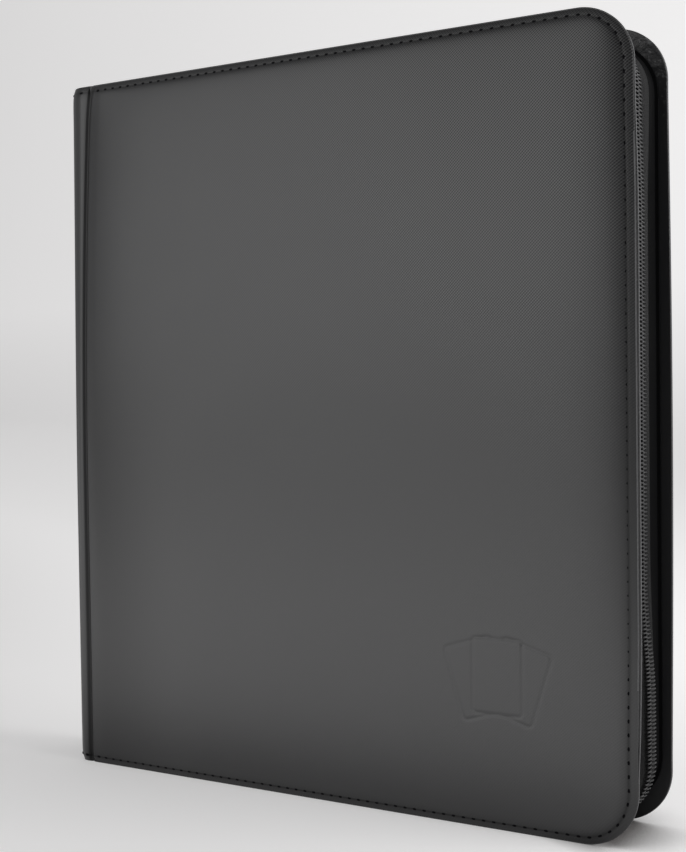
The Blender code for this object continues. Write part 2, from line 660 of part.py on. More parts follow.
# Assembly ----------------------------------------------------------------------------------------------
def build():
    spine = axis_empty("spine_axis", (X_CREASE, Y_CREASE, 0))
    front = axis_empty("front_cover_axis", (X_CREASE, -Y_CREASE, 0), spine)
    x_slider = X_CREASE + SLIDER_PARK
    slider = axis_empty("slider_track", (x_slider, 0, Z_WALL_TOP + CROWN_OUT))

    skin = finish("pu_skin", (0.035, 0.035, 0.037), 0.55)
    lining = finish("lining_pu", (0.03, 0.03, 0.032), 0.65)
    foam = finish("foam", (0.25, 0.25, 0.26), 0.9)
    board = finish("board", (0.33, 0.30, 0.26), 0.85)
    gusset = finish("gusset_pu", (0.02, 0.02, 0.021), 0.6)
    tape = finish("zip_tape", (0.045, 0.045, 0.047), 0.9)
    nylon = finish("zip_nylon", (0.03, 0.03, 0.031), 0.35)
    metal = finish("zip_metal", (0.06, 0.06, 0.065), 0.35, 0.8)
    film = finish("pocket_film", (0.08, 0.08, 0.085), 0.25)
    plastic = finish("binding_plastic", (0.02, 0.02, 0.02), 0.5)

    for word, side, parent in (("back", 1, None), ("front", -1, front)):
        make_skin(f"{word}_skin", side, skin, parent)
        make_foam(f"{word}_foam", side, foam, parent)
        make_board(f"{word}_board", side, board, parent)
        make_lining(f"{word}_lining", side, lining, parent)
        make_wall_strip(f"{word}_gusset", side, Y_GUSSET, Y_GUSSET_EDGE, 0, GUSSET, gusset, parent)
        make_wall_strip(f"{word}_zip_tape", side, Y_GUSSET_EDGE + TAPE_LAP, TAPE_GAP / 2,
                        TAPE_OUT, TAPE, tape, parent)
        start = COIL_START_TOP_BACK if side > 0 else COIL_START_TOP_FRONT
        x_top = X_CREASE + start
        x_bottom = X_CREASE + COIL_START_BOTTOM
        make_coil(f"{word}_zip_coil", side, x_top, x_bottom, nylon, parent)
        make_stop(f"{word}_zip_stop_top", side, x_top, True, metal, parent)
        make_stop(f"{word}_zip_stop_bottom", side, x_bottom, False, metal, parent)

    make_slider(metal, slider)
    make_slider_base(metal, slider)
    make_pull(metal, slider)

    make_spine_wrap("spine_skin", skin_outline(), 0, skin, spine)
    make_spine_wrap("spine_lining", lining_outline(), SPINE_MARGIN, lining, spine)
    half_flat = Y_RIM - SPINE_RADIUS
    make_slab("spine_board", X_SPINE + SPINE_BOARD_DEPTH, BOARD, half_flat, SPINE_MARGIN, board, spine)
    half_binding = leaf_y(0) + LEAF / 2
    make_slab("binding_cloth", X_CLOTH, CLOTH, half_binding, CLOTH_MARGIN, tape, spine)
    make_binding(plastic, spine)
    pattern = cut_leaf_mesh()
    for index in range(LEAF_COUNT):
        make_leaf(index, pattern, film, spine)


build()
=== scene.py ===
import math

import bpy
import numpy as np
from mathutils import Matrix, Vector


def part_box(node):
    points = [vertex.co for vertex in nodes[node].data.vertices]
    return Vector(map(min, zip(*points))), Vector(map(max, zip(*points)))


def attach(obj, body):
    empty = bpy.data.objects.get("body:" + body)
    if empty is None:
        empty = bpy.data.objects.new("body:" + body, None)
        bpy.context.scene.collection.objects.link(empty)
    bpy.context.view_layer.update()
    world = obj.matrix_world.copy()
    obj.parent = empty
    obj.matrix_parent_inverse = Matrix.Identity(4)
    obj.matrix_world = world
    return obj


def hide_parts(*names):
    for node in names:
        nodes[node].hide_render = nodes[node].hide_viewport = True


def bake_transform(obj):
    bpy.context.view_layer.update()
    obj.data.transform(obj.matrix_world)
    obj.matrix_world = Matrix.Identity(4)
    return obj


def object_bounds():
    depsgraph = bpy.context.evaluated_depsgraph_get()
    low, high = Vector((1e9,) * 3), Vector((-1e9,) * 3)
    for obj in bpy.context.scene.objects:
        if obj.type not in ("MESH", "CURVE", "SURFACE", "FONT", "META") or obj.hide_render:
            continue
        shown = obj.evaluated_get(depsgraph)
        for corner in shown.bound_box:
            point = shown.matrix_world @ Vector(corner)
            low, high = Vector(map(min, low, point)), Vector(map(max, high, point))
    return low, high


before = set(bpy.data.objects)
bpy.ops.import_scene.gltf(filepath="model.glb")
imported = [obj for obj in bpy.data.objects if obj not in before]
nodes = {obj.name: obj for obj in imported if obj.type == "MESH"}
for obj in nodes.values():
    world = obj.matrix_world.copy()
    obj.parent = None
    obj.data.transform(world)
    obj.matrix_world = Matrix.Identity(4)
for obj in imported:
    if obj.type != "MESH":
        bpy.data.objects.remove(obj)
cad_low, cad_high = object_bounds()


# Studio: the binder stands on a pale paper sweep, which curves up behind it. A large soft box and a low
# strip light the front cover from the spine side, two smaller boxes the opening side and the back, and a
# dim dome fills the rest. The camera looks in past the opening side, a little above the covers' middle.
MM = 0.001
scene = bpy.context.scene
scene.view_settings.view_transform = "Standard"


def pick(made):
    """Select one object and no other."""
    bpy.ops.object.select_all(action="DESELECT")
    made.select_set(True)
    bpy.context.view_layer.objects.active = made


def start_shape():
    """Leave only the new primitive selected, at the origin, with its size and place in its mesh."""
    made = bpy.context.object
    pick(made)
    bpy.ops.object.transform_apply(location=True, rotation=True, scale=True)
    return made


def select_where(made, kind, test):
    """In edit mode, select the vertices, edges or faces whose middle passes a test."""
    bpy.ops.object.mode_set(mode="EDIT")
    bpy.ops.mesh.select_mode(type=kind)
    bpy.ops.mesh.select_all(action="DESELECT")
    bpy.ops.object.mode_set(mode="OBJECT")
    points = made.data.vertices
    parts = {"VERT": points, "EDGE": made.data.edges, "FACE": made.data.polygons}[kind]
    for part in parts:
        corners = [part.index] if kind == "VERT" else part.vertices
        middle = sum((points[i].co for i in corners), points[0].co * 0) / len(corners)
        part.select = bool(test(middle, part))
    bpy.ops.object.mode_set(mode="EDIT")


def add_node(material, kind, inputs=None, **settings):
    """Add a shader node, set its properties, and link or set its inputs by name or number."""
    node = material.node_tree.nodes.new("ShaderNode" + kind)
    for setting, value in settings.items():
        setattr(node, setting, value)
    for key, value in (inputs or {}).items():
        if isinstance(value, bpy.types.Node):
            value = value.outputs[0]
        if isinstance(value, bpy.types.NodeSocket):
            material.node_tree.links.new(value, node.inputs[key])
        else:
            node.inputs[key].default_value = value
    return node


def feed(shader, socket, value):
    """Link a node, or one of its sockets, to a named socket of a shader."""
    source = value.outputs[0] if isinstance(value, bpy.types.Node) else value
    shader.id_data.links.new(source, shader.inputs[socket])


def place_on(material):
    """Where a point lies, in the object's own axes."""
    return add_node(material, "TexCoord").outputs["Object"]


def axes_on(material):
    """The X, Y and Z of a point, in the object's own axes."""
    return add_node(material, "SeparateXYZ", {0: place_on(material)}).outputs


def maths(material, operation, *values):
    """A sum, product or other operation on values or nodes."""
    return add_node(material, "Math", dict(enumerate(values)), operation=operation)


def ramp(material, value, low, high, start=0.0, end=1.0, shape="LINEAR"):
    """A value's rise or fall from start to end while it goes from low to high, and level outside that."""
    inputs = {0: value, 1: low, 2: high, 3: start, 4: end}
    return add_node(material, "MapRange", inputs, interpolation_type=shape)


def mix_tones(material, share, first, second):
    """The colour between two colours."""
    return add_node(material, "Mix", {"Factor": share, 6: first, 7: second}, data_type="RGBA").outputs[2]


def new_finish(name, roughness, **sockets):
    """A finish with its even values on the shader's own sockets."""
    material = bpy.data.materials.new(name)
    material.use_nodes = True
    shader = material.node_tree.nodes["Principled BSDF"]
    shader.inputs["Roughness"].default_value = roughness
    for socket, value in sockets.items():
        shader.inputs[socket.replace("_", " ")].default_value = value
    return material, shader


bpy.ops.mesh.primitive_plane_add(size=18, location=(-2, 0.2, -0.0001))
sweep = start_shape()
sweep.name = "paper_sweep"
select_where(sweep, "EDGE", lambda middle, edge: middle.y > 2)
bpy.ops.mesh.extrude_region_move(TRANSFORM_OT_translate={"value": (0, 0, 9)})
select_where(sweep, "EDGE", lambda middle, edge: middle.y > 2 and middle.z < 0.1)
bpy.ops.mesh.bevel(offset=4, segments=32, affect="EDGES")
bpy.ops.object.mode_set(mode="OBJECT")
bpy.ops.object.shade_smooth()
paper, paper_shader = new_finish("sweep_paper", 0.9, Specular_IOR_Level=0.2)
paper_grain = add_node(paper, "TexNoise", {"Scale": 3.0, "Detail": 2.0})
paper_tone = mix_tones(paper, paper_grain, (0.77, 0.76, 0.76, 1), (0.81, 0.80, 0.80, 1))
# Seen straight on or in a reflection, the paper also glows a little, which makes it paler.
seen = add_node(paper, "LightPath")
seen_or_glossy = maths(paper, "MAXIMUM", seen.outputs["Is Camera Ray"], seen.outputs["Is Glossy Ray"])
seen_at_all = maths(paper, "MAXIMUM", seen_or_glossy, seen.outputs["Is Transmission Ray"])
paper_axes = axes_on(paper)
across = maths(paper, "MULTIPLY_ADD", paper_axes[0], 0.5, paper_axes[1])
floor_glow = ramp(paper, across, -0.35, 0.40, -0.15, 0.15, "SMOOTHSTEP")
far_across = maths(paper, "MULTIPLY_ADD", paper_axes[0], 1.5, paper_axes[1])
far_glow = ramp(paper, far_across, -4.8, 5.0, 0.165, 0.345)
wall_glow = ramp(paper, paper_axes[2], 0.0, 0.8, 0.0, 0.10)
both_glows = maths(paper, "ADD", maths(paper, "ADD", floor_glow, far_glow), wall_glow)
# It is left out under the two small boxes, which light the paper themselves.
from_boxes = add_node(paper, "VectorMath", {0: place_on(paper), 1: (1.05, 0.45, 0)}, operation="DISTANCE")
unlit = ramp(paper, from_boxes.outputs["Value"], 0.3, 1.0, 0.0, 1.0)
own_glow = maths(paper, "MULTIPLY", both_glows, unlit)
behind = maths(paper, "MULTIPLY", seen_at_all, own_glow)
# In reflections only, the floor in front of the binder glows far more, which lights up the front cover's
# gloss as a lamp lying there would.
near_glow = ramp(paper, paper_axes[1], 0.0, -0.22, 0.0, 1.25, "SMOOTHSTEP")
in_front = maths(paper, "MULTIPLY", seen.outputs["Is Glossy Ray"], near_glow)
all_glow = maths(paper, "ADD", behind, in_front)
# On the side away from the large box, a soft dark shadow is painted into the paper's colour and its glow
# where the binder meets the floor, from ambient occlusion.
shade = add_node(paper, "AmbientOcclusion", {"Distance": 0.042}, samples=8)
unshaded = ramp(paper, shade.outputs["AO"], 0.25, 0.85)
lit_side = ramp(paper, across, 0.030, 0.055, 1.0, 0.0)
open_floor = maths(paper, "MAXIMUM", unshaded, lit_side)
glow = maths(paper, "MULTIPLY", all_glow, open_floor)
feed(paper_shader, "Base Color", mix_tones(paper, open_floor, (0.16, 0.15, 0.145, 1), paper_tone))
paper_shader.inputs["Emission Color"].default_value = (1, 0.995, 0.995, 1)
feed(paper_shader, "Emission Strength", glow)
sweep.data.materials.append(paper)

dome = bpy.data.worlds.new("dome")
dome.use_nodes = True
sky = dome.node_tree.nodes["Background"]
sky.inputs["Color"].default_value = (1, 1, 1, 1)
feed(sky, "Strength", ramp(dome, add_node(dome, "LightPath").outputs["Is Camera Ray"], 0, 1, 0.36, 0.80))
scene.world = dome


def soft_box(name, place, aim, width, height, power):
    """An area lamp turned to face a point, and out of sight itself."""
    bpy.ops.object.light_add(type="AREA", location=place)
    lamp = bpy.context.object
    lamp.name = name
    lamp.data.shape = "RECTANGLE"
    lamp.data.size, lamp.data.size_y = width, height
    lamp.data.energy = power
    lamp.rotation_euler = (lamp.location - Vector(aim)).to_track_quat("Z", "Y").to_euler()
    lamp.visible_camera = False


binder_middle = (cad_low + cad_high) / 2
soft_box("spine_side_box", (-0.34, -0.62, 0.45), (-0.34, 0, 0.45), 0.74, 0.70, 2.9)
soft_box("low_box", (-0.34, -0.61, 0.055), (-0.34, 0, 0.055), 0.74, 0.09, 0.30)
soft_box("opening_side_box", (1.2, 0.15, 0.8), binder_middle, 0.7, 0.7, 9)
soft_box("rear_box", (0.9, 0.9, 0.9), binder_middle, 0.6, 0.6, 2)

camera_data = bpy.data.cameras.new("camera")
camera = bpy.data.objects.new("camera", camera_data)
scene.collection.objects.link(camera)
camera_data.sensor_width = 36
camera_data.lens = 59.07
turn = Matrix.Rotation(math.radians(31.33), 4, "Z")
tilt = Matrix.Rotation(math.radians(90 - 1.71), 4, "X")
roll = Matrix.Rotation(math.radians(-0.7875), 4, "Z")
camera.matrix_world = Matrix.Translation((0.3378, -0.5549, 0.1897)) @ turn @ tilt @ roll
scene.camera = camera


def noise(material, place, scale, detail):
    """Soft random mottling."""
    return add_node(material, "TexNoise", {"Vector": place, "Scale": scale, "Detail": detail})


greyboard, greyboard_shader = new_finish("greyboard", 0.9, Specular_IOR_Level=0.2)
fibres = noise(greyboard, place_on(greyboard), 900, 6)
board_tone = mix_tones(greyboard, fibres, (0.16, 0.14, 0.115, 1), (0.34, 0.31, 0.27, 1))
feed(greyboard_shader, "Base Color", board_tone)
for board in ("front_board", "back_board", "spine_board"):
    nodes[board].data.materials[0] = greyboard


# Cover pads: each is embossed PU drawn over foam, turned in round the edge and sewn through the hem on
# the three free sides, so the pad swells up inside the seam. Along the spine it dips into the pressed
# crease instead. Sculpted by vertex moves on a grid whose rings run parallel to the edge.
HINGE_X, FREE_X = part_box("front_skin")[0].x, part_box("front_skin")[1].x
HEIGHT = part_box("front_skin")[1].z
RIM = 0.021                     # from the middle of the binder to the outer face of a cover's hem
SKIN = 0.0012
CORNER, HINGE_CORNER = 0.0238, 0.002
STITCH_PITCH = 0.0056
CROWN, CROWN_RUN = 0.0028, 0.014
HEM_ROLL, CREASE_DROP, VALLEY_GAP = 0.0004, 0.0010, 0.0005
CREASE_X = cad_low.x + 0.010    # fold axis of the covers
VALLEY_X = CREASE_X - 0.0006    # bottom of the pressed crease, below the middle of the spine
# Rings from the underside round the edge to the end of the corner: inset at the free side, inset at the
# head and foot, where the hem is drawn in tighter, and height over the hem, all in millimetres.
EDGE_RINGS = [(1.6, 1.6, -1.2), (0.2, 0.2, -1.2), (0.04, 0.04, -1.18), (0, 0, -1.12), (0, 0, -1.03),
              (0.06, 0.06, -0.93), (0.25, 0.2, -0.84), (0.7, 0.6, -0.73), (1.4, 1.2, -0.61),
              (2, 1.7, -0.53), (2.6, 2.3, -0.44), (3.1, 2.6, -0.40), (3.45, 2.85, -0.385),
              (3.8, 3.1, -0.39), (4.2, 3.35, -0.35), (4.8, 3.7, -0.29), (5.6, 4.2, -0.21),
              (7.0, 5.0, -0.13), (8.2, 6.4, -0.06), (9.6, 8.2, -0.02), (11.2, 10.2, 0),
              (13.3, 12.5, 0), (15.6, 15.0, 0), (18.0, 17.6, 0), (20.8, 20.6, 0), (23.8, 23.8, 0)]
SEAM_RING, HINGE_RING = 13, 9
TOP_RING = 6
side_inset, end_inset, ring_rise = (MM * np.array(column) for column in zip(*EDGE_RINGS))
last_ring = len(EDGE_RINGS) - 1


def grid_lines(low, high, low_inset, high_inset, close=None):
    """Grid lines across a panel: its rings at both ends, and an even pitch between, closer in one part."""
    start, end = low + low_inset[-1], high - high_inset[-1]
    if close:
        stops = [start, close[0], close[1], end]
        steps = [STITCH_PITCH / 3, close[2], STITCH_PITCH / 3]
    else:
        stops, steps = [start, end], [STITCH_PITCH / 3]
    middle = [np.linspace(a, b, round((b - a) / step) + 1)[1:] for a, b, step in zip(stops, stops[1:], steps)]
    return np.concatenate([low + low_inset, *middle, (high - high_inset)[::-1][1:]])


def read_points(made):
    points = np.empty(len(made.data.vertices) * 3, np.float32)
    made.data.vertices.foreach_get("co", points)
    return points.reshape(-1, 3).astype(float)


def write_points(made, points):
    made.data.vertices.foreach_set("co", np.asarray(points, np.float32).ravel())
    made.data.update()


def new_grid(name, columns, rows):
    """A flat grid one unit wide, with the column and the row of each of its points."""
    bpy.ops.mesh.primitive_grid_add(x_subdivisions=columns, y_subdivisions=rows, size=1)
    grid = start_shape()
    grid.name = name
    points = read_points(grid)
    column = np.rint((points[:, 0] + 0.5) * columns).astype(int)
    row = np.rint((points[:, 1] + 0.5) * rows).astype(int)
    return grid, column, row


def round_corner(x, z, near_side, near_end, centre, out, radius, rings, insets):
    """Move the points of one corner of the grid from a square onto arcs round the corner's centre."""
    ring, other = np.minimum(near_side, near_end), np.maximum(near_side, near_end)
    here = other <= rings
    share = np.where(ring < rings, (rings - other) / np.maximum(rings - ring, 1), 0)
    angle = np.where(near_side <= near_end, share, 2 - share) * math.pi / 4
    ring = np.minimum(ring, rings)
    x[here] = (centre[0] + out[0] * (radius - insets[0][ring]) * np.cos(angle))[here]
    z[here] = (centre[1] + out[1] * (radius - insets[1][ring]) * np.sin(angle))[here]


def lay_panel(name, x_lines, z_lines, side_rings, end_rings, hinge_ring):
    """A flat grid trimmed to the cover's outline, with each point's ring from the sewn sides."""
    columns, rows = len(x_lines) - 1, len(z_lines) - 1
    panel, column, row = new_grid(name, columns, rows)
    x, z = x_lines[column], z_lines[row]
    for end, middle_z, out_z in ((rows - row, HEIGHT - CORNER, 1), (row, CORNER, -1)):
        round_corner(x, z, columns - column, end, (FREE_X - CORNER, middle_z), (1, out_z), CORNER,
                     len(side_rings) - 1, (side_rings, end_rings))
    for end, middle_z, out_z in ((rows - row, HEIGHT - HINGE_CORNER, 1), (row, HINGE_CORNER, -1)):
        round_corner(x, z, column, end, (HINGE_X + HINGE_CORNER, middle_z), (-1, out_z), HINGE_CORNER,
                     hinge_ring, (side_rings, end_rings))
    sewn_ring = np.minimum.reduce([columns - column, row, rows - row])
    return panel, x, z, sewn_ring, column


def stand_up(panel, side):
    """Stand a flat panel up as the front (-1) or back (1) cover, with its faces outwards."""
    points = read_points(panel)
    write_points(panel, np.column_stack([points[:, 0], side * (RIM + points[:, 2]), points[:, 1]]))
    pick(panel)
    bpy.ops.object.shade_smooth()


def ease(value, start, end):
    share = np.clip((value - start) / (end - start), 0, 1)
    return share * share * (3 - 2 * share)


def wander(z):
    """How far the pressed crease strays from a straight line, towards the opening side, near the head."""
    share = np.clip((z - 0.14) / 0.20, 0, 1)
    return 0.007 * share ** 2 + 0.0006 * ease(z, 0.322, 0.338)


def free_bow(x, z, side):
    """How far a cover strays from its flat pattern near its free edge."""
    reach = ease(x, FREE_X - 0.065, FREE_X - 0.026)
    if side > 0:
        return 0.001 * reach * np.sin(np.clip((z - 0.03) / 0.28, 0, 1) * math.pi)
    return -reach * (0.0002 + 0.0007 * ease(z, 0.26, 0.32) + 0.0009 * (1 - ease(z, 0.03, 0.09)))


def head_sink(x, z, side):
    """The back cover's head sinks a little at the free corner."""
    return -0.0009 * ease(x, 0.085, 0.125) * ease(z, 0.28, 0.33) if side > 0 else 0 * x


def crease_dip(distance):
    """Depth of the pressed crease on either side of its bottom: a narrow groove with a soft shoulder."""
    return CREASE_DROP * (1 - ease(distance, 0, 0.0018)) + 0.0003 * (1 - ease(distance, 0.0005, 0.009))


def swell(distance, run):
    """Rise of the padding from 0 at its edge towards 1, steep at first."""
    return 1 - np.exp(-np.maximum(distance, 0) / run)


def pillow(side, end):
    """Smooth distance into the padding from its seam, with no ridge where a side's slope meets an end's."""
    reach = 0.050
    side, end = np.clip(reach - side, 0, None), np.clip(reach - end, 0, None)
    return np.maximum(reach - (side ** 6 + end ** 6) ** (1 / 6), 0)


def hem_roll(x, z, inset):
    """How far the hem rolls back between its seam and the edge, most at the head and foot."""
    past_x = np.maximum(x - (FREE_X - CORNER), 0)
    past_z = np.maximum(np.maximum(z - (HEIGHT - CORNER), CORNER - z), 0)
    upright = past_z ** 2 / np.maximum(past_x ** 2 + past_z ** 2, 1e-12)
    return HEM_ROLL * (0.7 + 0.3 * upright) * np.clip(1 - inset / end_inset[SEAM_RING], 0, 1) ** 1.5


def relief(material, strength, distance, height, under=None):
    """Fine relief on a surface, on top of a coarser one where that is given."""
    inputs = {"Strength": strength, "Distance": distance, "Height": height}
    return add_node(material, "Bump", inputs | ({"Normal": under} if under else {}))


def wave(material, value, pitch):
    """An even ripple along a value."""
    return maths(material, "SINE", maths(material, "MULTIPLY", value, 2 * math.pi / pitch))


pu_skin, pu_shader = new_finish("embossed_pu", 0.33, Specular_IOR_Level=0.72)
pu_axes = axes_on(pu_skin)
# The grain runs on round the spine, because it reads the width plus the depth.
around = maths(pu_skin, "ADD", pu_axes[0], maths(pu_skin, "ABSOLUTE", pu_axes[1]))
TWILL_PITCH = 0.00093
ribs = []
for direction in ("ADD", "SUBTRACT"):
    across = maths(pu_skin, direction, around, pu_axes[2])
    ribs.append(wave(pu_skin, across, TWILL_PITCH * math.sqrt(2)))
weaker = maths(pu_skin, "MULTIPLY", ribs[0], 0.4)
twill = maths(pu_skin, "ADD", ribs[1], weaker)
pu_coords = place_on(pu_skin)
pebble = noise(pu_skin, pu_coords, 1800, 3)
sag = noise(pu_skin, pu_coords, 14, 2)
sag_bump = relief(pu_skin, 0.25, 0.002, sag)
grain_bump = relief(pu_skin, 0.4, 0.00003, pebble, sag_bump)
twill_bump = relief(pu_skin, 0.5, 0.000008, twill, grain_bump)
# The tops of the ribs are pressed smooth, and the hollows between them stay matt and dark.
feed(pu_shader, "Roughness", ramp(pu_skin, twill, -1.4, 1.4, 0.36, 0.31))
feed(pu_shader, "Normal", twill_bump)
pu_cloud = noise(pu_skin, pu_coords, 22, 4)
pu_base = mix_tones(pu_skin, pu_cloud, (0.0150, 0.0152, 0.0165, 1), (0.0205, 0.0205, 0.0218, 1))
# Painted glint and shade: the contrast between the grain's lighter, glossier ribs and darker hollows is
# painted strongest at the free corner of the head, and fainter towards the spine and the foot.
glint_toward_head = ramp(pu_skin, pu_axes[2], 0.14, 0.32, 0.0, 1.0)
glint_toward_free_edge = ramp(pu_skin, pu_axes[0], -0.08, 0.07, 0.0, 1.0)
painted_glint_reach = maths(pu_skin, "MULTIPLY", glint_toward_head, glint_toward_free_edge)
grain_low = ramp(pu_skin, painted_glint_reach, 0, 1, 0.66, 0.08)
grain_high = ramp(pu_skin, painted_glint_reach, 0, 1, 0.74, 1.25)
rib_share = ramp(pu_skin, twill, -1.4, 1.4, grain_low, grain_high)
# Painted shade: the skin's colour and gloss are darkened by a kept share, most in the seam, over the hem and
# in the crease.
painted_shade = add_node(pu_skin, "Attribute", attribute_name="painted_shade").outputs["Fac"]
unshaded_skin = ramp(pu_skin, painted_shade, 0.0, 1.0, 1.0, 0.0)
grain_and_painted_shade = maths(pu_skin, "MULTIPLY", rib_share, unshaded_skin)
feed(pu_shader, "Base Color", mix_tones(pu_skin, grain_and_painted_shade, (0.001, 0.001, 0.001, 1), pu_base))
feed(pu_shader, "Specular Tint", mix_tones(pu_skin, grain_and_painted_shade, (0.04, 0.04, 0.04, 1), (1, 1, 1, 1)))

# The skin is cut raw at the edge, where its pale backing shows; on the free edge this pale tone is also a
# painted highlight.
cut_edge_and_highlight, cut_shader = new_finish("cut_pu_edge_and_highlight", 0.8, Specular_IOR_Level=0.3)
backing = noise(cut_edge_and_highlight, place_on(cut_edge_and_highlight), 900, 4)
feed(cut_shader, "Base Color", mix_tones(cut_edge_and_highlight, backing, (0.07, 0.07, 0.072, 1), (0.15, 0.15, 0.153, 1)))

EMBLEM = ((0.062, 0.115), (0.030, 0.098))       # where the front cover has its blank pressed mark


def card_fan(x, z):
    """Depth of the pressed mark: the outlines of three blank cards in a fan, the middle one on top."""
    depth, hidden = 0 * x, np.zeros(x.shape, bool)
    for tilt in (0, -0.3, 0.3):
        along = (x - sum(EMBLEM[0]) / 2) * math.cos(tilt) + (z - EMBLEM[1][0] - 0.004) * math.sin(tilt)
        up = (z - EMBLEM[1][0] - 0.004) * math.cos(tilt) - (x - sum(EMBLEM[0]) / 2) * math.sin(tilt)
        past = np.stack([np.abs(along) - 0.0095, np.abs(up - 0.032) - 0.0140])
        edge = np.hypot(*np.maximum(past, 0)) + np.minimum(past.max(axis=0), 0) - 0.0020
        depth += np.where(hidden, 0, np.exp(-(edge / 0.0007) ** 2))
        hidden |= edge < 0
    return 0.00020 * depth


def keep_painted_shade(made, from_seam, from_crease, painted_light_share):
    """Keep how much painted shade darkens the skin at each point: most in the stitch line and the crease."""
    hem = 0.22 * (1 - ease(from_seam, 0.0004, 0.0050)) + 0.35 * np.exp(-(from_seam / 0.0008) ** 2)
    groove = 0.6 * (1 - ease(from_crease, 0.0008, 0.0030))
    painted_darkening = 1 - (1 - hem) * (1 - groove) * (1 - painted_light_share)
    made.data.attributes.new("painted_shade", "FLOAT", "POINT").data.foreach_set("value", painted_darkening.astype(np.float32))


for word, side in (("front", -1), ("back", 1)):
    close = word == "front"
    x_lines = grid_lines(HINGE_X, FREE_X, side_inset, side_inset, (*EMBLEM[0], 0.0005) if close else None)
    z_lines = grid_lines(0, HEIGHT, end_inset, end_inset, (*EMBLEM[1], 0.0005) if close else None)
    pad, x, z, sewn_ring, column = lay_panel(f"{word}_cover_pad", x_lines, z_lines, side_inset, end_inset,
                                             HINGE_RING)
    deep = np.minimum(sewn_ring, column) < TOP_RING
    ring = np.minimum(sewn_ring, last_ring)
    from_end = np.minimum(z, HEIGHT - z)
    inside = np.where(sewn_ring <= last_ring, side_inset[ring], np.minimum(FREE_X - x, from_end))
    from_seam = inside - side_inset[SEAM_RING]
    into = pillow(FREE_X - x - side_inset[SEAM_RING], from_end - end_inset[SEAM_RING])
    crown = CROWN * swell(into, CROWN_RUN) * swell(x - HINGE_X, CROWN_RUN) * ease(from_seam, 0, 0.0012)
    drop = crease_dip(x - HINGE_X) + hem_roll(x, z, np.where(ring < SEAM_RING, end_inset[ring], 1))
    rise = np.where(deep, 0, ring_rise[ring] + crown) - drop - (card_fan(x, z) if close else 0)
    edge = ring_rise[np.minimum(np.minimum(sewn_ring, column), last_ring)]
    rise = np.where(deep, -SKIN + (edge + SKIN) * (SKIN - np.minimum(drop, 0.001)) / SKIN, rise)
    from_crease = x - HINGE_X
    # Painted shade: the skin's colour and gloss are darkened round the middle of the cover's height, and
    # beside the crease low down.
    crease_side_shade = 0.34 * (1 - ease(from_crease, 0, 0.060)) * (1 - ease(z, 0.13, 0.26))
    painted_light_share = 1 - (1 - 0.26 * np.exp(-((z - 0.155) / 0.065) ** 2)) * (1 - crease_side_shade)
    to_crease = wander(z) + VALLEY_X + VALLEY_GAP - HINGE_X
    x += to_crease * (1 - ease(x, HINGE_X, HINGE_X + 0.045)) + free_bow(x, z, side)
    write_points(pad, np.column_stack([x, z + head_sink(x, z, side), rise]))
    keep_painted_shade(pad, from_seam, from_crease, painted_light_share)
    stand_up(pad, side)
    bpy.ops.object.mode_set(mode="EDIT")
    bpy.ops.mesh.select_all(action="DESELECT")
    bpy.ops.mesh.select_non_manifold()
    bpy.ops.mesh.edge_face_add()
    bpy.ops.mesh.select_all(action="SELECT")
    bpy.ops.mesh.normals_make_consistent(inside=False)
    bpy.ops.object.mode_set(mode="OBJECT")
    pad.data.materials.append(pu_skin)
    pad.data.materials.append(cut_edge_and_highlight)
    # Painted highlight: the outward faces of the free edge take the pale cut-edge finish.
    for face in pad.data.polygons:
        face.material_index = int(face.center.x > FREE_X - 0.0010 and face.normal.x > 0.15)
    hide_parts(f"{word}_skin", f"{word}_foam")
    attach(pad, f"{word}_cover")


# Hem stitching: black polyester thread, run from the crease along the head, down the free side and back
# along the foot of each cover. It shows short on the outside and runs long inside the hem, and each
# stitch is pulled down into the skin between its two needle holes.
THREAD_RADIUS, STITCH_LENGTH, THREAD_SUNK, STITCH_DIP = 0.0006, 0.0025, 0.0005, 0.00035
bpy.ops.mesh.primitive_cylinder_add(vertices=8, radius=THREAD_RADIUS, depth=STITCH_LENGTH,
                                    rotation=(0, math.pi / 2, 0))
stitch = start_shape()
select_where(stitch, "EDGE", lambda middle, edge: abs(middle.x) < 0.0001)
bpy.ops.mesh.subdivide(number_cuts=4)
bpy.ops.object.mode_set(mode="OBJECT")
bent = read_points(stitch)
along = bent[:, 0] / (STITCH_LENGTH / 2)
bent[:, 1:] *= (1 - 0.45 * along ** 4)[:, None]
bent[:, 2] = 0.6 * bent[:, 2] + STITCH_DIP * (1 - along ** 2) - STITCH_DIP
write_points(stitch, bent)


def repeat_shape(name, pattern, places, body, material):
    """Copies of a small shape in one piece, each at a point with its own forward and outward direction."""
    shape = read_points(pattern)
    points, faces = [], []
    for number, (point, forward, out) in enumerate(places):
        point, forward, out = (np.array(part, float) for part in (point, forward, out))
        axes = np.stack([forward, np.cross(out, forward), out])
        points.append(point + shape @ axes)
        faces += [[i + number * len(shape) for i in face.vertices] for face in pattern.data.polygons]
    mesh = bpy.data.meshes.new(name)
    mesh.from_pydata(np.concatenate(points).tolist(), [], faces)
    made = bpy.data.objects.new(name, mesh)
    scene.collection.objects.link(made)
    mesh.shade_smooth()
    mesh.materials.append(material)
    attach(made, body)
    return made


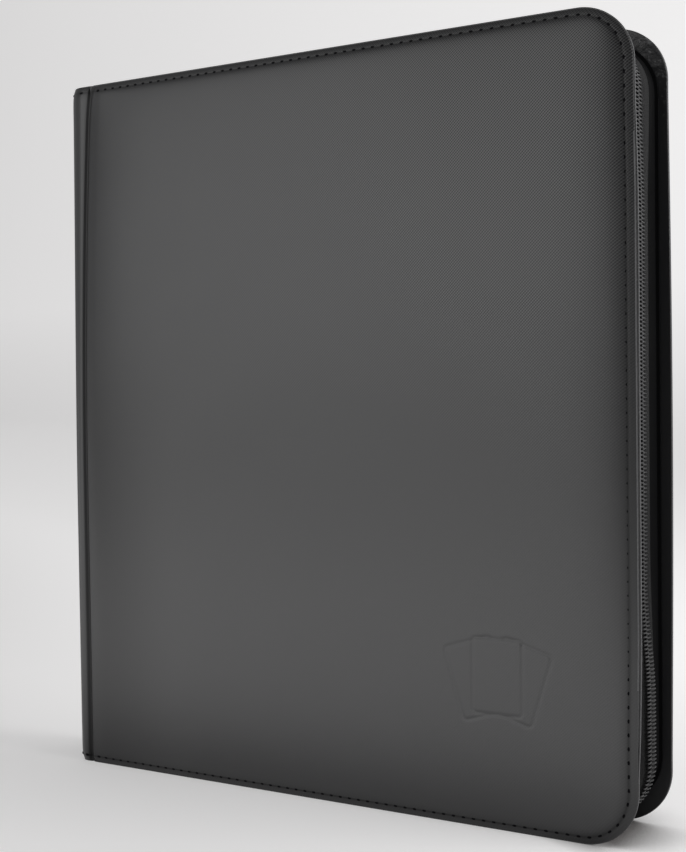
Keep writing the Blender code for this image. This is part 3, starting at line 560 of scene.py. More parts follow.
def pace_out(path, pitch, close=1, parts=()):
    """Points spaced evenly along a path, but closer in some parts, and the path's direction there."""
    path = np.array(path)
    steps = np.linalg.norm(np.diff(path, axis=0), axis=1)
    for low, high in parts:
        steps[low:high] *= close
    lengths = np.concatenate([[0], np.cumsum(steps)])
    count = int(lengths[-1] / pitch)
    marks = (np.arange(count) + 0.5) * lengths[-1] / count
    middles = np.column_stack([np.interp(marks, lengths, path[:, k]) for k in range(3)])
    ahead = np.column_stack([np.interp(marks + pitch / 4, lengths, path[:, k]) for k in range(3)])
    behind = np.column_stack([np.interp(marks - pitch / 4, lengths, path[:, k]) for k in range(3)])
    forward = ahead - behind
    return middles, forward / np.linalg.norm(forward, axis=1)[:, None]


thread, thread_shader = new_finish("sewing_thread", 0.9, Specular_IOR_Level=0.08)
ply = noise(thread, place_on(thread), 3500, 2)
# The thread is black, and painted blacker still, as the shade in the needle holes it sinks into.
thread_tone = mix_tones(thread, ply, (0.0008, 0.0008, 0.001, 1), (0.004, 0.004, 0.005, 1))
feed(thread_shader, "Base Color", thread_tone)
feed(thread_shader, "Normal", relief(thread, 0.6, 0.0001, ply))

SEAM_SIDE, SEAM_END = side_inset[SEAM_RING], end_inset[SEAM_RING]
arc_angles = np.radians(np.linspace(0, 90, 31))
head_corner = [(FREE_X - CORNER + (CORNER - SEAM_SIDE) * math.sin(a),
                HEIGHT - CORNER + (CORNER - SEAM_END) * math.cos(a)) for a in arc_angles]
seam_path = [(VALLEY_X + wander(HEIGHT) + 0.003, HEIGHT - SEAM_END)] + head_corner
seam_path += [(x, HEIGHT - z) for x, z in reversed(head_corner)] + [(VALLEY_X + 0.003, SEAM_END)]
seam_ends = ((0, len(head_corner) - 8), (len(head_corner) + 8, len(seam_path) - 1))
for word, side in (("front", -1), ("back", 1)):
    seam = [(x + free_bow(x, z, side), side * (RIM - THREAD_SUNK), z + head_sink(x, z, side))
            for x, z in seam_path]
    middles, forwards = pace_out(seam, STITCH_PITCH, 1.18, seam_ends)
    places = [(point, forward, (0, side, 0)) for point, forward in zip(middles, forwards)]
    repeat_shape(f"{word}_hem_stitches", stitch, places, f"{word}_cover", thread)


# Spine wrap: the same embossed PU, carried on round the spine board, with its long edges pressed down to
# the lining in the two creases and its head and foot turned in and stitched. It is sculpted by vertex
# moves, in a front and a back half that meet in the middle.
SPINE_X = cad_low.x
BEND = 0.007
FLAT = VALLEY_X + VALLEY_GAP - 0.0001 - (SPINE_X + BEND)
TURN = BEND * math.pi / 2
BACK_HALF = RIM - BEND
HALF_ROUND = FLAT + TURN + BACK_HALF


def slack(z):
    """How much rounder the spine's edges are than low down, where the board holds them: most at the head."""
    return 0.0045 * ease(z, 0.13, 0.40) / ease(0.34, 0.13, 0.40)


def spine_point(way, z, rise, side):
    """Point of the spine on the way from the crease round to the middle of its back, and its outward side."""
    bend = np.clip(way - FLAT, 0, TURN) / BEND
    first = np.clip(way, 0, FLAT)
    past = np.clip(way - FLAT - TURN, 0, None) * (1 - slack(z) / BACK_HALF)
    x = SPINE_X + BEND + FLAT - first * (1 - slack(z) / FLAT) - (BEND + slack(z)) * np.sin(bend)
    depth = RIM - (BEND + slack(z)) * (1 - np.cos(bend)) - past
    out_x, out_y = -np.sin(bend), side * np.cos(bend)
    return x + wander(z) * (1 - first / FLAT) + out_x * rise, side * depth + out_y * rise, out_x, out_y


hem_lines = end_inset[TOP_RING:] - end_inset[TOP_RING]
past_seam = np.clip(1 - end_inset[TOP_RING:] / end_inset[SEAM_RING], 0, 1)
hem_rise = ring_rise[TOP_RING:] - HEM_ROLL * past_seam ** 1.5
way_lines = np.concatenate([np.linspace(0, FLAT, 22), np.linspace(FLAT, HALF_ROUND, 28)[1:]])


def give_thickness(sheet, first, second):
    """Make a flat sheet into a closed one, from the points of its two faces."""
    flat = read_points(sheet)
    bpy.ops.object.mode_set(mode="EDIT")
    bpy.ops.mesh.select_all(action="SELECT")
    bpy.ops.mesh.extrude_region_move(TRANSFORM_OT_translate={"value": (0, 0, 0)})
    bpy.ops.object.mode_set(mode="OBJECT")
    # The extruded points come in another order, so each is matched to the flat point that it lies on.
    doubled, match = read_points(sheet)[len(flat):], np.empty(len(flat), int)
    match[np.lexsort(doubled.T)] = np.lexsort(flat.T)
    write_points(sheet, np.concatenate([first, second[match]]))
    bpy.ops.object.mode_set(mode="EDIT")
    bpy.ops.mesh.select_all(action="SELECT")
    bpy.ops.mesh.normals_make_consistent(inside=False)
    bpy.ops.object.mode_set(mode="OBJECT")
    if sum(face.center.dot(face.normal) * face.area for face in sheet.data.polygons) < 0:
        sheet.data.flip_normals()
    bpy.ops.object.shade_smooth_by_angle(angle=math.radians(50))


height_lines = grid_lines(0, HEIGHT, hem_lines, hem_lines)
for word, side in (("front", -1), ("back", 1)):
    wrap, column, row = new_grid(f"spine_wrap_{word}", len(way_lines) - 1, len(height_lines) - 1)
    way, height = way_lines[column], height_lines[row]
    end_distance = np.minimum(height, HEIGHT - height)
    layers = []
    for depth in (0, SKIN):
        rise = np.interp(end_distance, hem_lines, hem_rise) * (1 if depth == 0 else 0) - depth
        stretch = 1 + (wander(height) - slack(height)) / FLAT
        rise = rise - crease_dip(np.minimum(way, FLAT) * stretch) * (1 if depth == 0 else 0.3)
        skin_x, skin_y, *_ = spine_point(way, height, rise, side)
        layers.append(np.column_stack([skin_x, skin_y, height]))
    give_thickness(wrap, *layers)
    wrap_x, _, wrap_z = read_points(wrap).T
    wrap_end = np.minimum(wrap_z, HEIGHT - wrap_z)
    from_seam = np.interp(wrap_end, end_inset[TOP_RING:], side_inset[TOP_RING:]) - SEAM_SIDE
    from_crease = SPINE_X + BEND + FLAT + wander(wrap_z) - wrap_x
    # Painted shade on the wrap: in its seams and crease, and more of it towards the foot.
    keep_painted_shade(wrap, from_seam, from_crease, 0.2 * (1 - ease(wrap_z, 0.12, 0.27)))
    wrap.data.materials.append(pu_skin)
    start, end = (CREASE_X - 0.0011, side * RIM, 0), (CREASE_X + 0.0009, side * RIM, 0)
    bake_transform(wrap)
    if side < 0:
        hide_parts("spine_skin")

places = []
count = round(HALF_ROUND / STITCH_PITCH)
for side in (-1, 1):
    for height in (HEIGHT - end_inset[SEAM_RING], end_inset[SEAM_RING]):
        for number in range(count):
            way = (number + 0.5) * HALF_ROUND / count
            x, y, out_x, out_y = spine_point(way, height, -THREAD_SUNK, side)
            places.append(((x, y, height), (-out_y, out_x, 0), (out_x, out_y, 0)))
repeat_shape("spine_hem_stitches", stitch, places, "spine", thread)


# Cover linings: smooth black PU on a card base, glued inside each cover and caught by the hem stitching.
# The flange round its edge lies on the skin, and steps in to the panel over the board. The edge is cut
# raw, so it shows as a pale line, and the flange is creased at the free corner of the head.
lining_pu, lining_shader = new_finish("lining_pu", 0.4, Specular_IOR_Level=0.5)
lining_place = place_on(lining_pu)
lining_grain = noise(lining_pu, lining_place, 1400, 3)
wrinkle = add_node(lining_pu, "TexVoronoi", {"Vector": lining_place, "Scale": 750},
                   feature="DISTANCE_TO_EDGE")
crumple = noise(lining_pu, lining_place, 520, 6)
crease_net = maths(lining_pu, "MULTIPLY", wrinkle, crumple)
lining_axes = axes_on(lining_pu)
# The creasing fades in over the top of the free corner.
high_up = ramp(lining_pu, lining_axes[2], 0.285, 0.325)
far_out = ramp(lining_pu, lining_axes[0], 0.10, 0.135)
creased = maths(lining_pu, "MULTIPLY", high_up, far_out)
crease_bump = relief(lining_pu, creased, 0.00025, crease_net)
feed(lining_shader, "Normal", relief(lining_pu, 0.35, 0.00005, lining_grain, crease_bump))
# Painted glints: pale specks on the crumple's peaks, where the flange is creased.
painted_light_share = ramp(lining_pu, crumple, 0.60, 0.66)
painted_glints = maths(lining_pu, "MULTIPLY", painted_light_share, creased)
lining_tone = mix_tones(lining_pu, painted_glints, (0.010, 0.010, 0.011, 1), (0.075, 0.075, 0.077, 1))
feed(lining_shader, "Base Color", lining_tone)

raw_edge, raw_shader = new_finish("lining_raw_edge", 0.8, Specular_IOR_Level=0.3)
raw_fibres = noise(raw_edge, place_on(raw_edge), 900, 4)
raw_tone = mix_tones(raw_edge, raw_fibres, (0.09, 0.09, 0.092, 1), (0.19, 0.19, 0.195, 1))
feed(raw_shader, "Base Color", raw_tone)

LINING_RINGS = MM * np.array([0, 0.3, 0.9, 1.4, 2, 3.4, 5, 6.6, 8.2, 9.6, 11, 11.6, 12.2, 12.8, 13.4, 14,
                              14.7, 15.6, 18, 20.8, 23.8])
LINING_HINGE_RING = 4
LINING_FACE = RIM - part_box("back_lining")[1].y         # depth of the lining's outer face at the hem
LINING_STEP = 0.0030                                   # from the flange in to the panel
LINING = 0.0011
both_rings = (LINING_RINGS, LINING_RINGS)
lining_lines = (grid_lines(HINGE_X, FREE_X, *both_rings), grid_lines(0, HEIGHT, *both_rings))
for word, side in (("front", -1), ("back", 1)):
    lining, x, z, sewn_ring, _ = lay_panel(f"{word}_cover_lining", *lining_lines, *both_rings,
                                           LINING_HINGE_RING)
    ring = np.minimum(sewn_ring, len(LINING_RINGS) - 1)
    inside = np.minimum(np.where(sewn_ring < len(LINING_RINGS), LINING_RINGS[ring], 1), x - HINGE_X)
    faces = []
    for depth, start in ((LINING_FACE, 0.0116), (LINING_FACE + LINING, 0.0110)):
        deep = depth + LINING_STEP * ease(inside, start, start + 0.003)
        if depth > LINING_FACE:
            near = ease(x, 0.105, 0.135) * ease(z, 0.29, 0.325) * ease(inside, 0.0005, 0.003)
            ripple = np.sin(x * 900 + 2 * np.sin(z * 500)) * np.sin(z * 760 + 2.5 * np.sin(x * 430 + 1))
            deep = deep - 0.00025 * near * (0.6 + ripple) * (1 if word == "back" else 0.3)
        proud = ease(x, FREE_X - 0.004, FREE_X) * ease(z, 0.025, 0.05)
        proud = proud * (0.0002 + 0.0004 * (1 - ease(z, 0.25, 0.31)))
        x_now = x + free_bow(x, z, side) + (proud if word == "front" else 0)
        faces.append(np.column_stack([x_now, side * (RIM - deep), z + head_sink(x, z, side)]))
    pick(lining)
    give_thickness(lining, *faces)
    trim = lining.modifiers.new("cut_edge", "BEVEL")
    trim.width = 0.0002
    trim.segments = 1
    trim.angle_limit = math.radians(60)
    bpy.ops.object.modifier_apply(modifier="cut_edge")
    lining.data.materials.append(lining_pu)
    lining.data.materials.append(raw_edge)
    for face in lining.data.polygons:
        faces_out = abs(face.normal.y) < 0.5 and abs(face.normal.x) > 0.3
        face.material_index = int(faces_out and face.center.x > 0.1)
    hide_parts(f"{word}_lining")
    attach(lining, f"{word}_cover")
bpy.data.objects.remove(stitch)


# Zip wall, gussets: a strip of black PU stands on each lining's flange all round the opening, and carries
# the zip. Its foot is turned out and glued to the flange, and the wall bellies outwards low down on the
# free side.
WALL_X, WALL_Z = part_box("front_gusset")[1].x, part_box("front_gusset")[1].z
WALL_RADIUS = 0.022
WALL_TOP_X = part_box("front_gusset")[0].x
Z_MIDDLE = HEIGHT / 2
SIDE_RUN = WALL_Z - Z_MIDDLE - WALL_RADIUS
CORNER_RUN = WALL_RADIUS * math.pi / 2
BEND_X = WALL_X - WALL_RADIUS


def belly(run):
    """How far the wall bellies out: a little along the free side, and more round its lower corner."""
    side_part = 0.0008 * (1 - ease(run, 0.09, 0.135))
    low_part = 0.0024 * ease(-run, 0.066, 0.112)
    return (side_part + low_part) * (1 - ease(-run, 0.162, 0.200))


def tip(run, side):
    """Slope of the front half of the zip, which tips back where its wall bellies out."""
    return 0.2 * ease(-run, 0.066, 0.112) * (1 - ease(-run, 0.162, 0.200)) * (side < 0)


def wall_lie(run, deep, side):
    """How far the wall strays outward: all of the belly at the zip, and a hollow beside it."""
    grain_and_painted_shade = 0.0009 * (1 - ease(run, 0.09, 0.135)) * ease(run, -0.10, -0.05)
    beside = ease(deep, 0.003, 0.0105) * (1 - ease(deep, 0.0125, 0.0178))
    tipped = tip(run, side) * deep * (1 - ease(deep, 0.004, 0.0178))
    return belly(run) * (1 - np.clip(deep / 0.0115, 0, 1) ** 2) - grain_and_painted_shade * beside - tipped


def wall_point(run, out):
    """Point of the wall in X and Z: run from the middle of the free side, and distance outward."""
    along = np.abs(run) - SIDE_RUN
    angle = np.clip(along / WALL_RADIUS, 0, math.pi / 2)
    radius = WALL_RADIUS + out
    x = BEND_X + radius * np.cos(angle) - np.maximum(along - CORNER_RUN, 0)
    z = np.sign(run) * (np.minimum(np.abs(run), SIDE_RUN) + radius * np.sin(angle))
    return x, Z_MIDDLE + z


def run_to(x):
    """Run along the wall to a place on its straight top."""
    return SIDE_RUN + CORNER_RUN + BEND_X - x


def wall_strip(name, section, thickness, side, step):
    """A strip round the wall, and its cut width, from a section of distances outward and from the middle."""
    section = np.array(section)
    ways = np.concatenate([[0], np.cumsum(np.linalg.norm(np.diff(section, axis=0), axis=1))])
    fine = np.linspace(0, ways[-1], round(ways[-1] / 0.0005) + 1)
    out, deep = np.interp(fine, ways, section[:, 0]), np.interp(fine, ways, section[:, 1])
    for _ in range(2):
        out[1:-1] = (out[:-2] + 2 * out[1:-1] + out[2:]) / 4
        deep[1:-1] = (deep[:-2] + 2 * deep[1:-1] + deep[2:]) / 4
    slope = np.stack([np.gradient(out), np.gradient(deep)])
    slope /= np.linalg.norm(slope, axis=0)
    end = run_to(WALL_TOP_X)
    runs = np.linspace(-end, end, round(2 * end / step) + 1)
    strip, i, j = new_grid(name, len(runs) - 1, len(fine) - 1)
    loops = np.empty(len(strip.data.loops) * 2, np.float32)
    strip.data.uv_layers[0].data.foreach_get("uv", loops)
    scaled = loops.reshape(-1, 2) * [2 * end, ways[-1]]
    strip.data.uv_layers[0].data.foreach_set("uv", scaled.astype(np.float32).ravel())
    faces = []
    for inward in (0, thickness):
        o = out + slope[1] * inward
        d = deep - slope[0] * inward
        x, z = wall_point(runs[i], o[j] + wall_lie(runs[i], d[j], side))
        faces.append(np.column_stack([x, side * d[j], z]))
    give_thickness(strip, *faces)
    return strip, ways[-1]


gusset_pu, gusset_shader = new_finish("gusset_pu", 0.7, Specular_IOR_Level=0.06)
gusset_place = place_on(gusset_pu)
gusset_grain = noise(gusset_pu, gusset_place, 1500, 3)
gusset_fold = noise(gusset_pu, gusset_place, 35, 3)
fold_bump = relief(gusset_pu, 0.4, 0.001, gusset_fold)
feed(gusset_shader, "Normal", relief(gusset_pu, 0.4, 0.00005, gusset_grain, fold_bump))
gusset_tone = mix_tones(gusset_pu, gusset_fold, (0.002, 0.002, 0.0023, 1), (0.005, 0.005, 0.0053, 1))
feed(gusset_shader, "Base Color", gusset_tone)
GUSSET_SECTION = [(0.0022, 0.0178), (0.0004, 0.0178), (-0.0001, 0.0174), (0, 0.0168), (0, 0.0128),
                  (-0.0009, 0.0112), (-0.0009, 0.0099)]
for word, side in (("front", -1), ("back", 1)):
    gusset, cut_width = wall_strip(f"{word}_zip_gusset", GUSSET_SECTION, -0.0008, side, 0.0024)
    gusset.data.materials.append(gusset_pu)
    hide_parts(f"{word}_gusset")
    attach(gusset, f"{word}_cover")


# Zip tapes: woven black polyester, one on each gusset. The tape is sewn over the gusset's edge, and dips
# under the coil, which is sewn to its inner edge.
tape_weave, tape_shader = new_finish("woven_tape", 0.8, Specular_IOR_Level=0.25, Sheen_Weight=0.05,
                                     Sheen_Roughness=0.5)
tape_uv = add_node(tape_weave, "SeparateXYZ", {0: add_node(tape_weave, "UVMap")}).outputs
TAPE_RIB = 0.00045
weave = maths(tape_weave, "MULTIPLY", wave(tape_weave, tape_uv[0], TAPE_RIB),
              wave(tape_weave, tape_uv[1], TAPE_RIB * 1.4))
tape_fuzz = add_node(tape_weave, "TexNoise", {"Vector": place_on(tape_weave), "Scale": 2500})
cloth_height = maths(tape_weave, "ADD", weave, tape_fuzz)
feed(tape_shader, "Normal", relief(tape_weave, 0.7, 0.00012, cloth_height))
tape_lift = ramp(tape_weave, weave, -1.0, 1.0)
# The tape is painted blacker under the coil, as the coil's shade.
tape_unshaded = ramp(tape_weave, tape_uv[1], 0.0086, 0.0066)
tape_share = maths(tape_weave, "MULTIPLY", tape_lift, tape_unshaded)
# Painted shade: the tape and the coil are painted darker towards the foot, in colour and in gloss.
tape_painted_shade = ramp(tape_weave, axes_on(tape_weave)[2], 0.03, 0.20, 0.25, 1.0)
tape_base = mix_tones(tape_weave, tape_unshaded, (0.002, 0.002, 0.002, 1), (0.005, 0.005, 0.0053, 1))
tape_tone = mix_tones(tape_weave, tape_share, tape_base, (0.011, 0.011, 0.0116, 1))
feed(tape_shader, "Base Color", mix_tones(tape_weave, tape_painted_shade, (0.001, 0.001, 0.001, 1), tape_tone))
feed(tape_shader, "Specular Tint", tape_painted_shade)
TAPE_SECTION = [(-0.0002, 0.0112), (-0.0002, 0.0100), (-0.0002, 0.0066), (-0.0006, 0.0050), (-0.0011, 0.0036),
                (-0.0012, 0.0028), (-0.0012, 0.0004)]
for word, side in (("front", -1), ("back", 1)):
    tape, cut_width = wall_strip(f"{word}_woven_tape", TAPE_SECTION, -0.0005, side, 0.0024)
    tape.data.materials.append(tape_weave)
    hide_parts(f"{word}_zip_tape")
    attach(tape, f"{word}_cover")


# Zip coils: black nylon monofilament, wound into a flat spiral along each tape and sewn down. Each turn
# comes out of the sewing, rises over and ends in a head that hooks between two heads of the other coil.
COIL_PITCH = 0.00163
nylon, nylon_shader = new_finish("coil_nylon", 0.38, Specular_IOR_Level=0.5)
rub = noise(nylon, place_on(nylon), 500, 3)
nylon_tone = mix_tones(nylon, rub, (0.016, 0.016, 0.017, 1), (0.06, 0.06, 0.062, 1))
# Painted shade: the coil is darker towards the foot, in colour and in gloss.
nylon_painted_shade = ramp(nylon, axes_on(nylon)[2], 0.03, 0.20, 0.3, 1.0)
feed(nylon_shader, "Base Color", mix_tones(nylon, nylon_painted_shade, (0.004, 0.004, 0.004, 1), nylon_tone))
feed(nylon_shader, "Specular Tint", nylon_painted_shade)
feed(nylon_shader, "Normal", relief(nylon, 0.3, 0.00005, rub))

# One turn, lying along Y from the sewing (+Y) to its head (-Y), with Z outward.
NYLON_RADIUS, TURN_LENGTH, TURN_WIDER, TURN_ARCH = 0.00042, 0.0034, 1.35, 0.00030
COIL_LOW_X = -0.1245                                       # end of the coils on the foot
bpy.ops.mesh.primitive_cylinder_add(vertices=6, radius=NYLON_RADIUS, depth=TURN_LENGTH,
                                    rotation=(math.pi / 2, 0, 0))
turn_shape = start_shape()
select_where(turn_shape, "EDGE", lambda middle, edge: abs(middle.y) < 0.0001)
bpy.ops.mesh.subdivide(number_cuts=4)
bpy.ops.object.mode_set(mode="OBJECT")
shape = read_points(turn_shape)
share = (shape[:, 1] + TURN_LENGTH / 2) / TURN_LENGTH                    # 0 at the head, 1 at the sewing
shape[:, 0] *= np.where(share < 0.35, 1.45, 1.0)
shape[:, 0] += 0.0002 * (share - 0.5)
shape[:, 2] = shape[:, 2] * 0.9 + TURN_ARCH * np.sin(np.clip(share, 0, 1) * math.pi) - 0.00005
shape[:, 1] = TURN_WIDER * (shape[:, 1] + TURN_LENGTH / 2) - 0.0005
write_points(turn_shape, shape)
COIL_LEVEL, AHEAD = -0.0003, 0.0002
for word, side in (("front", -1), ("back", 1)):
    top_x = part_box(f"{word}_zip_coil")[0].x
    runs = np.arange(-run_to(COIL_LOW_X), run_to(top_x), COIL_PITCH) + (COIL_PITCH / 2 if side < 0 else 0)
    x, z = wall_point(runs, COIL_LEVEL + belly(runs))
    x_on, z_on = wall_point(runs + AHEAD, COIL_LEVEL + belly(runs + AHEAD))
    places = []
    for i in range(len(runs)):
        forward = np.array([x_on[i] - x[i], 0, z_on[i] - z[i]])
        forward /= np.linalg.norm(forward)
        out = np.array([forward[2], side * tip(runs[i], side), -forward[0]])
        out /= np.linalg.norm(out)
        # The turn's own Y axis is out x forward, which is +Y here; the front coil is turned round.
        places.append(((x[i], 0, z[i]), forward * side, out))
    repeat_shape(f"{word}_nylon_coil", turn_shape, places, f"{word}_cover", nylon)
    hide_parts(f"{word}_zip_coil")
bpy.data.objects.remove(turn_shape)


# Zip stops: pressed metal clips, crimped over the ends of the coils.
stop_metal, stop_shader = new_finish("blackened_zinc", 0.35, Metallic=1.0)
worn = noise(stop_metal, place_on(stop_metal), 700, 4)
feed(stop_shader, "Base Color", mix_tones(stop_metal, worn, (0.03, 0.03, 0.032, 1), (0.16, 0.16, 0.165, 1)))
feed(stop_shader, "Normal", relief(stop_metal, 0.2, 0.00005, worn))
for word in ("front", "back"):
    for end in ("top", "bottom"):
        nodes[f"{word}_zip_stop_{end}"].data.materials[0] = stop_metal


# Zip slider: two cast zinc plates that close round the coils, finished in worn black enamel. The upper
# one has a bridge for the pull. The pull is a flat stamped tab, with an eye round the bridge, a waist and
# a hole for a cord.
enamel, enamel_shader = new_finish("black_enamel", 0.3, Metallic=0.6, Coat_Weight=0.5, Coat_Roughness=0.15)
enamel_place = place_on(enamel)
orange_peel = noise(enamel, enamel_place, 1400, 2)
scratches = noise(enamel, enamel_place, 350, 8)
scratches.inputs["Roughness"].default_value = 0.75
chipped = ramp(enamel, scratches, 0.62, 0.72)
enamel_tone = mix_tones(enamel, chipped, (0.012, 0.012, 0.013, 1), (0.20, 0.20, 0.205, 1))
feed(enamel_shader, "Base Color", enamel_tone)
feed(enamel_shader, "Roughness", ramp(enamel, scratches, 0.4, 0.75, 0.26, 0.5))
feed(enamel_shader, "Normal", relief(enamel, 0.25, 0.00004, orange_peel))
for part in ("zip_slider", "zip_slider_base", "zip_pull"):
    nodes[part].data.materials[0] = enamel


# Spine lining: a strip of the same PU as the cover linings, glued inside the spine from crease to crease
# over the board, and cut short at its head and foot.
LINING_LOW, LINING_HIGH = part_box("spine_lining")
LINING_DEPTH = LINING_LOW.x - SPINE_X
lining_start = SPINE_X + BEND + FLAT - LINING_HIGH.x
lining_ways = np.linspace(lining_start, 2 * HALF_ROUND - lining_start, 60)
lining_heights = np.linspace(LINING_LOW.z, LINING_HIGH.z, 80)
spine_lining, column, row = new_grid("spine_lining_strip", len(lining_ways) - 1, len(lining_heights) - 1)
way, height = lining_ways[column], lining_heights[row]
layers = []
for depth in (LINING_DEPTH, LINING_DEPTH + LINING):
    halves = [spine_point(np.minimum(part, HALF_ROUND), 0, -depth, half)[:2]
              for half, part in ((-1, way), (1, 2 * HALF_ROUND - way))]
    lining_x, lining_y = np.where(way < HALF_ROUND, *halves)
    layers.append(np.column_stack([lining_x, lining_y, height]))
give_thickness(spine_lining, *layers)
spine_lining.data.materials.append(lining_pu)
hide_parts("spine_lining")
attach(spine_lining, "spine")


# Page binding: a strip of black book cloth is glued down the inside of the spine, with pinked ends, and
# a comb of moulded polypropylene is welded to it. Each tooth of the comb is a thin fin, and a leaf is
# welded to its end.
CLOTH_LOW, CLOTH_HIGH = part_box("binding_cloth")
PINKING = 0.0030
columns, rows = 40, 60
binding_strip, column, row = new_grid("binding_cloth_strip", columns, rows)
across = CLOTH_LOW.y + (CLOTH_HIGH.y - CLOTH_LOW.y) * column / columns
teeth = PINKING / 2 * (column % 4 == 2) + PINKING / 4 * (column % 2 == 1)
up = CLOTH_LOW.z + (CLOTH_HIGH.z - CLOTH_LOW.z) * row / rows
up = up + np.where(row == 0, teeth, 0) - np.where(row == rows, teeth, 0)
cockle = 0.00008 * np.sin(across * 700) * np.sin(up * 150)
give_thickness(binding_strip, np.column_stack([CLOTH_LOW.x + 0.0001 + cockle, across, up]),
               np.column_stack([CLOTH_HIGH.x - 0.0001 + cockle, across, up]))
book_cloth, cloth_shader = new_finish("book_cloth", 0.85, Specular_IOR_Level=0.2, Sheen_Weight=0.3,
                                      Sheen_Roughness=0.5)
cloth_coords = place_on(book_cloth)
cloth_axes = axes_on(book_cloth)
over_under = maths(book_cloth, "MULTIPLY", wave(book_cloth, cloth_axes[1], 0.0006),
                   wave(book_cloth, cloth_axes[2], 0.0008))
slub = noise(book_cloth, cloth_coords, 900, 4)
cloth_rise = maths(book_cloth, "ADD", over_under, slub)
feed(cloth_shader, "Normal", relief(book_cloth, 0.7, 0.00015, cloth_rise))
cloth_share = ramp(book_cloth, cloth_rise, -0.6, 1.4)
cloth_tone = mix_tones(book_cloth, cloth_share, (0.008, 0.008, 0.009, 1), (0.035, 0.035, 0.038, 1))
feed(cloth_shader, "Base Color", cloth_tone)
binding_strip.data.materials.append(book_cloth)
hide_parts("binding_cloth")
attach(binding_strip, "spine")

comb_plastic, comb_shader = new_finish("comb_polypropylene", 0.42, Specular_IOR_Level=0.5)
comb_place = place_on(comb_plastic)
spark_grain = noise(comb_plastic, comb_place, 2200, 2)
flow = noise(comb_plastic, comb_place, 18, 4)
feed(comb_shader, "Normal", relief(comb_plastic, 0.3, 0.00004, spark_grain))
comb_tone = mix_tones(comb_plastic, flow, (0.009, 0.009, 0.010, 1), (0.020, 0.020, 0.021, 1))
feed(comb_shader, "Base Color", comb_tone)
feed(comb_shader, "Roughness", ramp(comb_plastic, flow, 0.3, 0.7, 0.36, 0.5))
nodes["page_binding"].data.materials[0] = comb_plastic


# Leaves: twenty sheets of thin black polypropylene, each with clear film welded over both faces in nine
# card pockets. The welds round the pockets are pressed with a fine knurl, each pocket is open along its
# spine side, and the leaf's inner edge thins to a living hinge on the end of its fin.
LEAF_LOW, LEAF_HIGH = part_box("leaf_01")
LEAF = LEAF_HIGH.y - LEAF_LOW.y
POCKET_WIDE, POCKET_TALL, WELD, MOUTH = 0.066, 0.091, 0.003, 0.003
PITCH_X, PITCH_Z = POCKET_WIDE + WELD, POCKET_TALL + WELD
POCKETS_X = LEAF_HIGH.x - 3 * PITCH_X                        # spine side of the first pocket
POCKETS_Z = Z_MIDDLE - (3 * POCKET_TALL + 2 * WELD) / 2      # foot of the lowest pocket
SHEET_FACE, WELD_FACE, FILM_FACE = 0.00026, 0.00034, LEAF / 2 - 0.00003
across_lines = [-0.0004, 0, 0.0004, 0.0010, 0.0018, 0.0030, 0.0045]     # from the fold line
column_lines = [0, 0.0001, MOUTH - 0.0001, MOUTH, 0.0038, 0.0052, 0.018, 0.034, 0.050, 0.0612, 0.0646, 0.0656,
                POCKET_WIDE]
row_lines = [0, 0.0004, 0.0014, 0.0048, 0.018, 0.036, 0.055, 0.073, 0.0862, 0.0896, 0.0906, POCKET_TALL]


def leaf_grid(fold_x):
    """Grid lines of a leaf in X and Z."""
    xs = [fold_x + step for step in across_lines] + [(fold_x + POCKETS_X) / 2, POCKETS_X - WELD]
    for number in range(3):
        xs += [POCKETS_X + number * PITCH_X + step for step in column_lines]
    zs = [LEAF_LOW.z, LEAF_LOW.z + 0.0004, POCKETS_Z - WELD]
    for number in range(3):
        zs += [POCKETS_Z + number * PITCH_Z + step for step in row_lines]
    xs += [LEAF_HIGH.x - WELD / 2, LEAF_HIGH.x]
    zs += [POCKETS_Z + 3 * PITCH_Z, LEAF_HIGH.z - 0.0004, LEAF_HIGH.z]
    return np.array(xs), np.array(zs)


def leaf_face(x, z, fold_x):
    """Height of one face of a leaf over its middle: sheet, welds, and the film of the pockets."""
    in_x, in_z = (x - POCKETS_X) % PITCH_X, (z - POCKETS_Z) % PITCH_Z
    near = 0.00005                                           # a grid line lies exactly on each weld's edge
    inside = (x > POCKETS_X - near) & (z > POCKETS_Z - near) & (z < POCKETS_Z + 3 * PITCH_Z - WELD + near)
    inside &= (in_x < POCKET_WIDE + near) & (in_z < POCKET_TALL + near)
    film = inside & (in_x > MOUTH - near)
    ends = np.minimum(in_z, POCKET_TALL - in_z)
    rise = ease(np.minimum(ends, POCKET_WIDE - in_x), 0, 0.005)
    # The film gapes a little at the middle of its open side, and sags onto the sheet in the middle.
    gape = (1 - ease(in_x, MOUTH, 0.030)) * ease(ends, 0.002, 0.035)
    sag = 0.25 * ease(ends, 0.01, 0.04) * ease(in_x, 0.01, 0.03) * ease(POCKET_WIDE - in_x, 0.005, 0.03)
    swell_here = 0.55 + 0.45 * gape - sag
    height = np.where(inside, SHEET_FACE, WELD_FACE)
    height = np.where(film, WELD_FACE + (FILM_FACE - WELD_FACE) * rise * swell_here, height)
    hinge = ease(x - fold_x, 0.0003, 0.0020)
    return 0.00010 + (height - 0.00010) * hinge


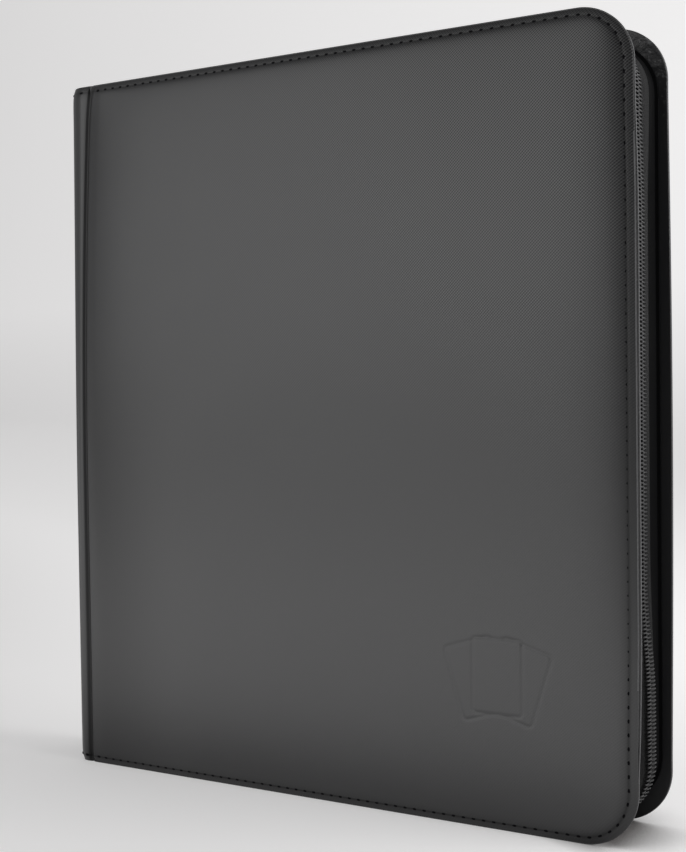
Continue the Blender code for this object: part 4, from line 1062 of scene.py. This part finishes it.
film_clear, film_shader = new_finish("clear_film_on_black", 0.38, Specular_IOR_Level=0.3, Coat_Weight=1.0,
                                     Coat_IOR=1.5)
film_coords = place_on(film_clear)
film_slack = noise(film_clear, film_coords, 45, 2)
film_slack.inputs["Distortion"].default_value = 0.6
feed(film_shader, "Coat Normal", relief(film_clear, 0.5, 0.0006, film_slack))
haze = noise(film_clear, film_coords, 260, 6)
feed(film_shader, "Coat Roughness", ramp(film_clear, haze, 0.4, 0.75, 0.05, 0.22))
film_tone = mix_tones(film_clear, haze, (0.016, 0.016, 0.017, 1), (0.028, 0.028, 0.030, 1))
feed(film_shader, "Base Color", film_tone)

leaf_sheet, sheet_shader = new_finish("leaf_polypropylene", 0.5, Specular_IOR_Level=0.4)
sheet_axes = axes_on(leaf_sheet)
KNURL_PITCH = 0.0009
knurls = []
for direction in ("ADD", "SUBTRACT"):
    slant = maths(leaf_sheet, direction, sheet_axes[0], sheet_axes[2])
    knurls.append(wave(leaf_sheet, slant, KNURL_PITCH))
knurl = maths(leaf_sheet, "MAXIMUM", knurls[0], knurls[1])
feed(sheet_shader, "Normal", relief(leaf_sheet, 0.6, 0.00008, knurl))
raised = ramp(leaf_sheet, knurl, -0.5, 1.0)
sheet_tone = mix_tones(leaf_sheet, raised, (0.010, 0.010, 0.011, 1), (0.024, 0.024, 0.026, 1))
feed(sheet_shader, "Base Color", sheet_tone)

for number in range(1, 21):
    name = f"leaf_{number:02d}"
    low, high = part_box(name)
    fold_x, middle_y = low.x - 0.0006, (low.y + high.y) / 2
    xs, zs = leaf_grid(fold_x)
    leaf, column, row = new_grid(f"{name}_pockets", len(xs) - 1, len(zs) - 1)
    x, z = xs[column], zs[row]
    faces = [np.column_stack([x, middle_y + way_out * leaf_face(x, z, fold_x), z]) for way_out in (-1, 1)]
    give_thickness(leaf, *faces)
    leaf.data.materials.append(leaf_sheet)
    leaf.data.materials.append(film_clear)
    for face in leaf.data.polygons:
        from_x, from_z = face.center.x - POCKETS_X, face.center.z - POCKETS_Z
        in_column = from_x > 0 and MOUTH - 0.0001 < from_x % PITCH_X < POCKET_WIDE
        in_row = 0 < from_z < 3 * PITCH_Z - WELD and from_z % PITCH_Z < POCKET_TALL
        face.material_index = int(in_column and in_row)
    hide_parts(name)
    start, end = fold_x - 0.0003, fold_x + 0.0011
    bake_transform(leaf)
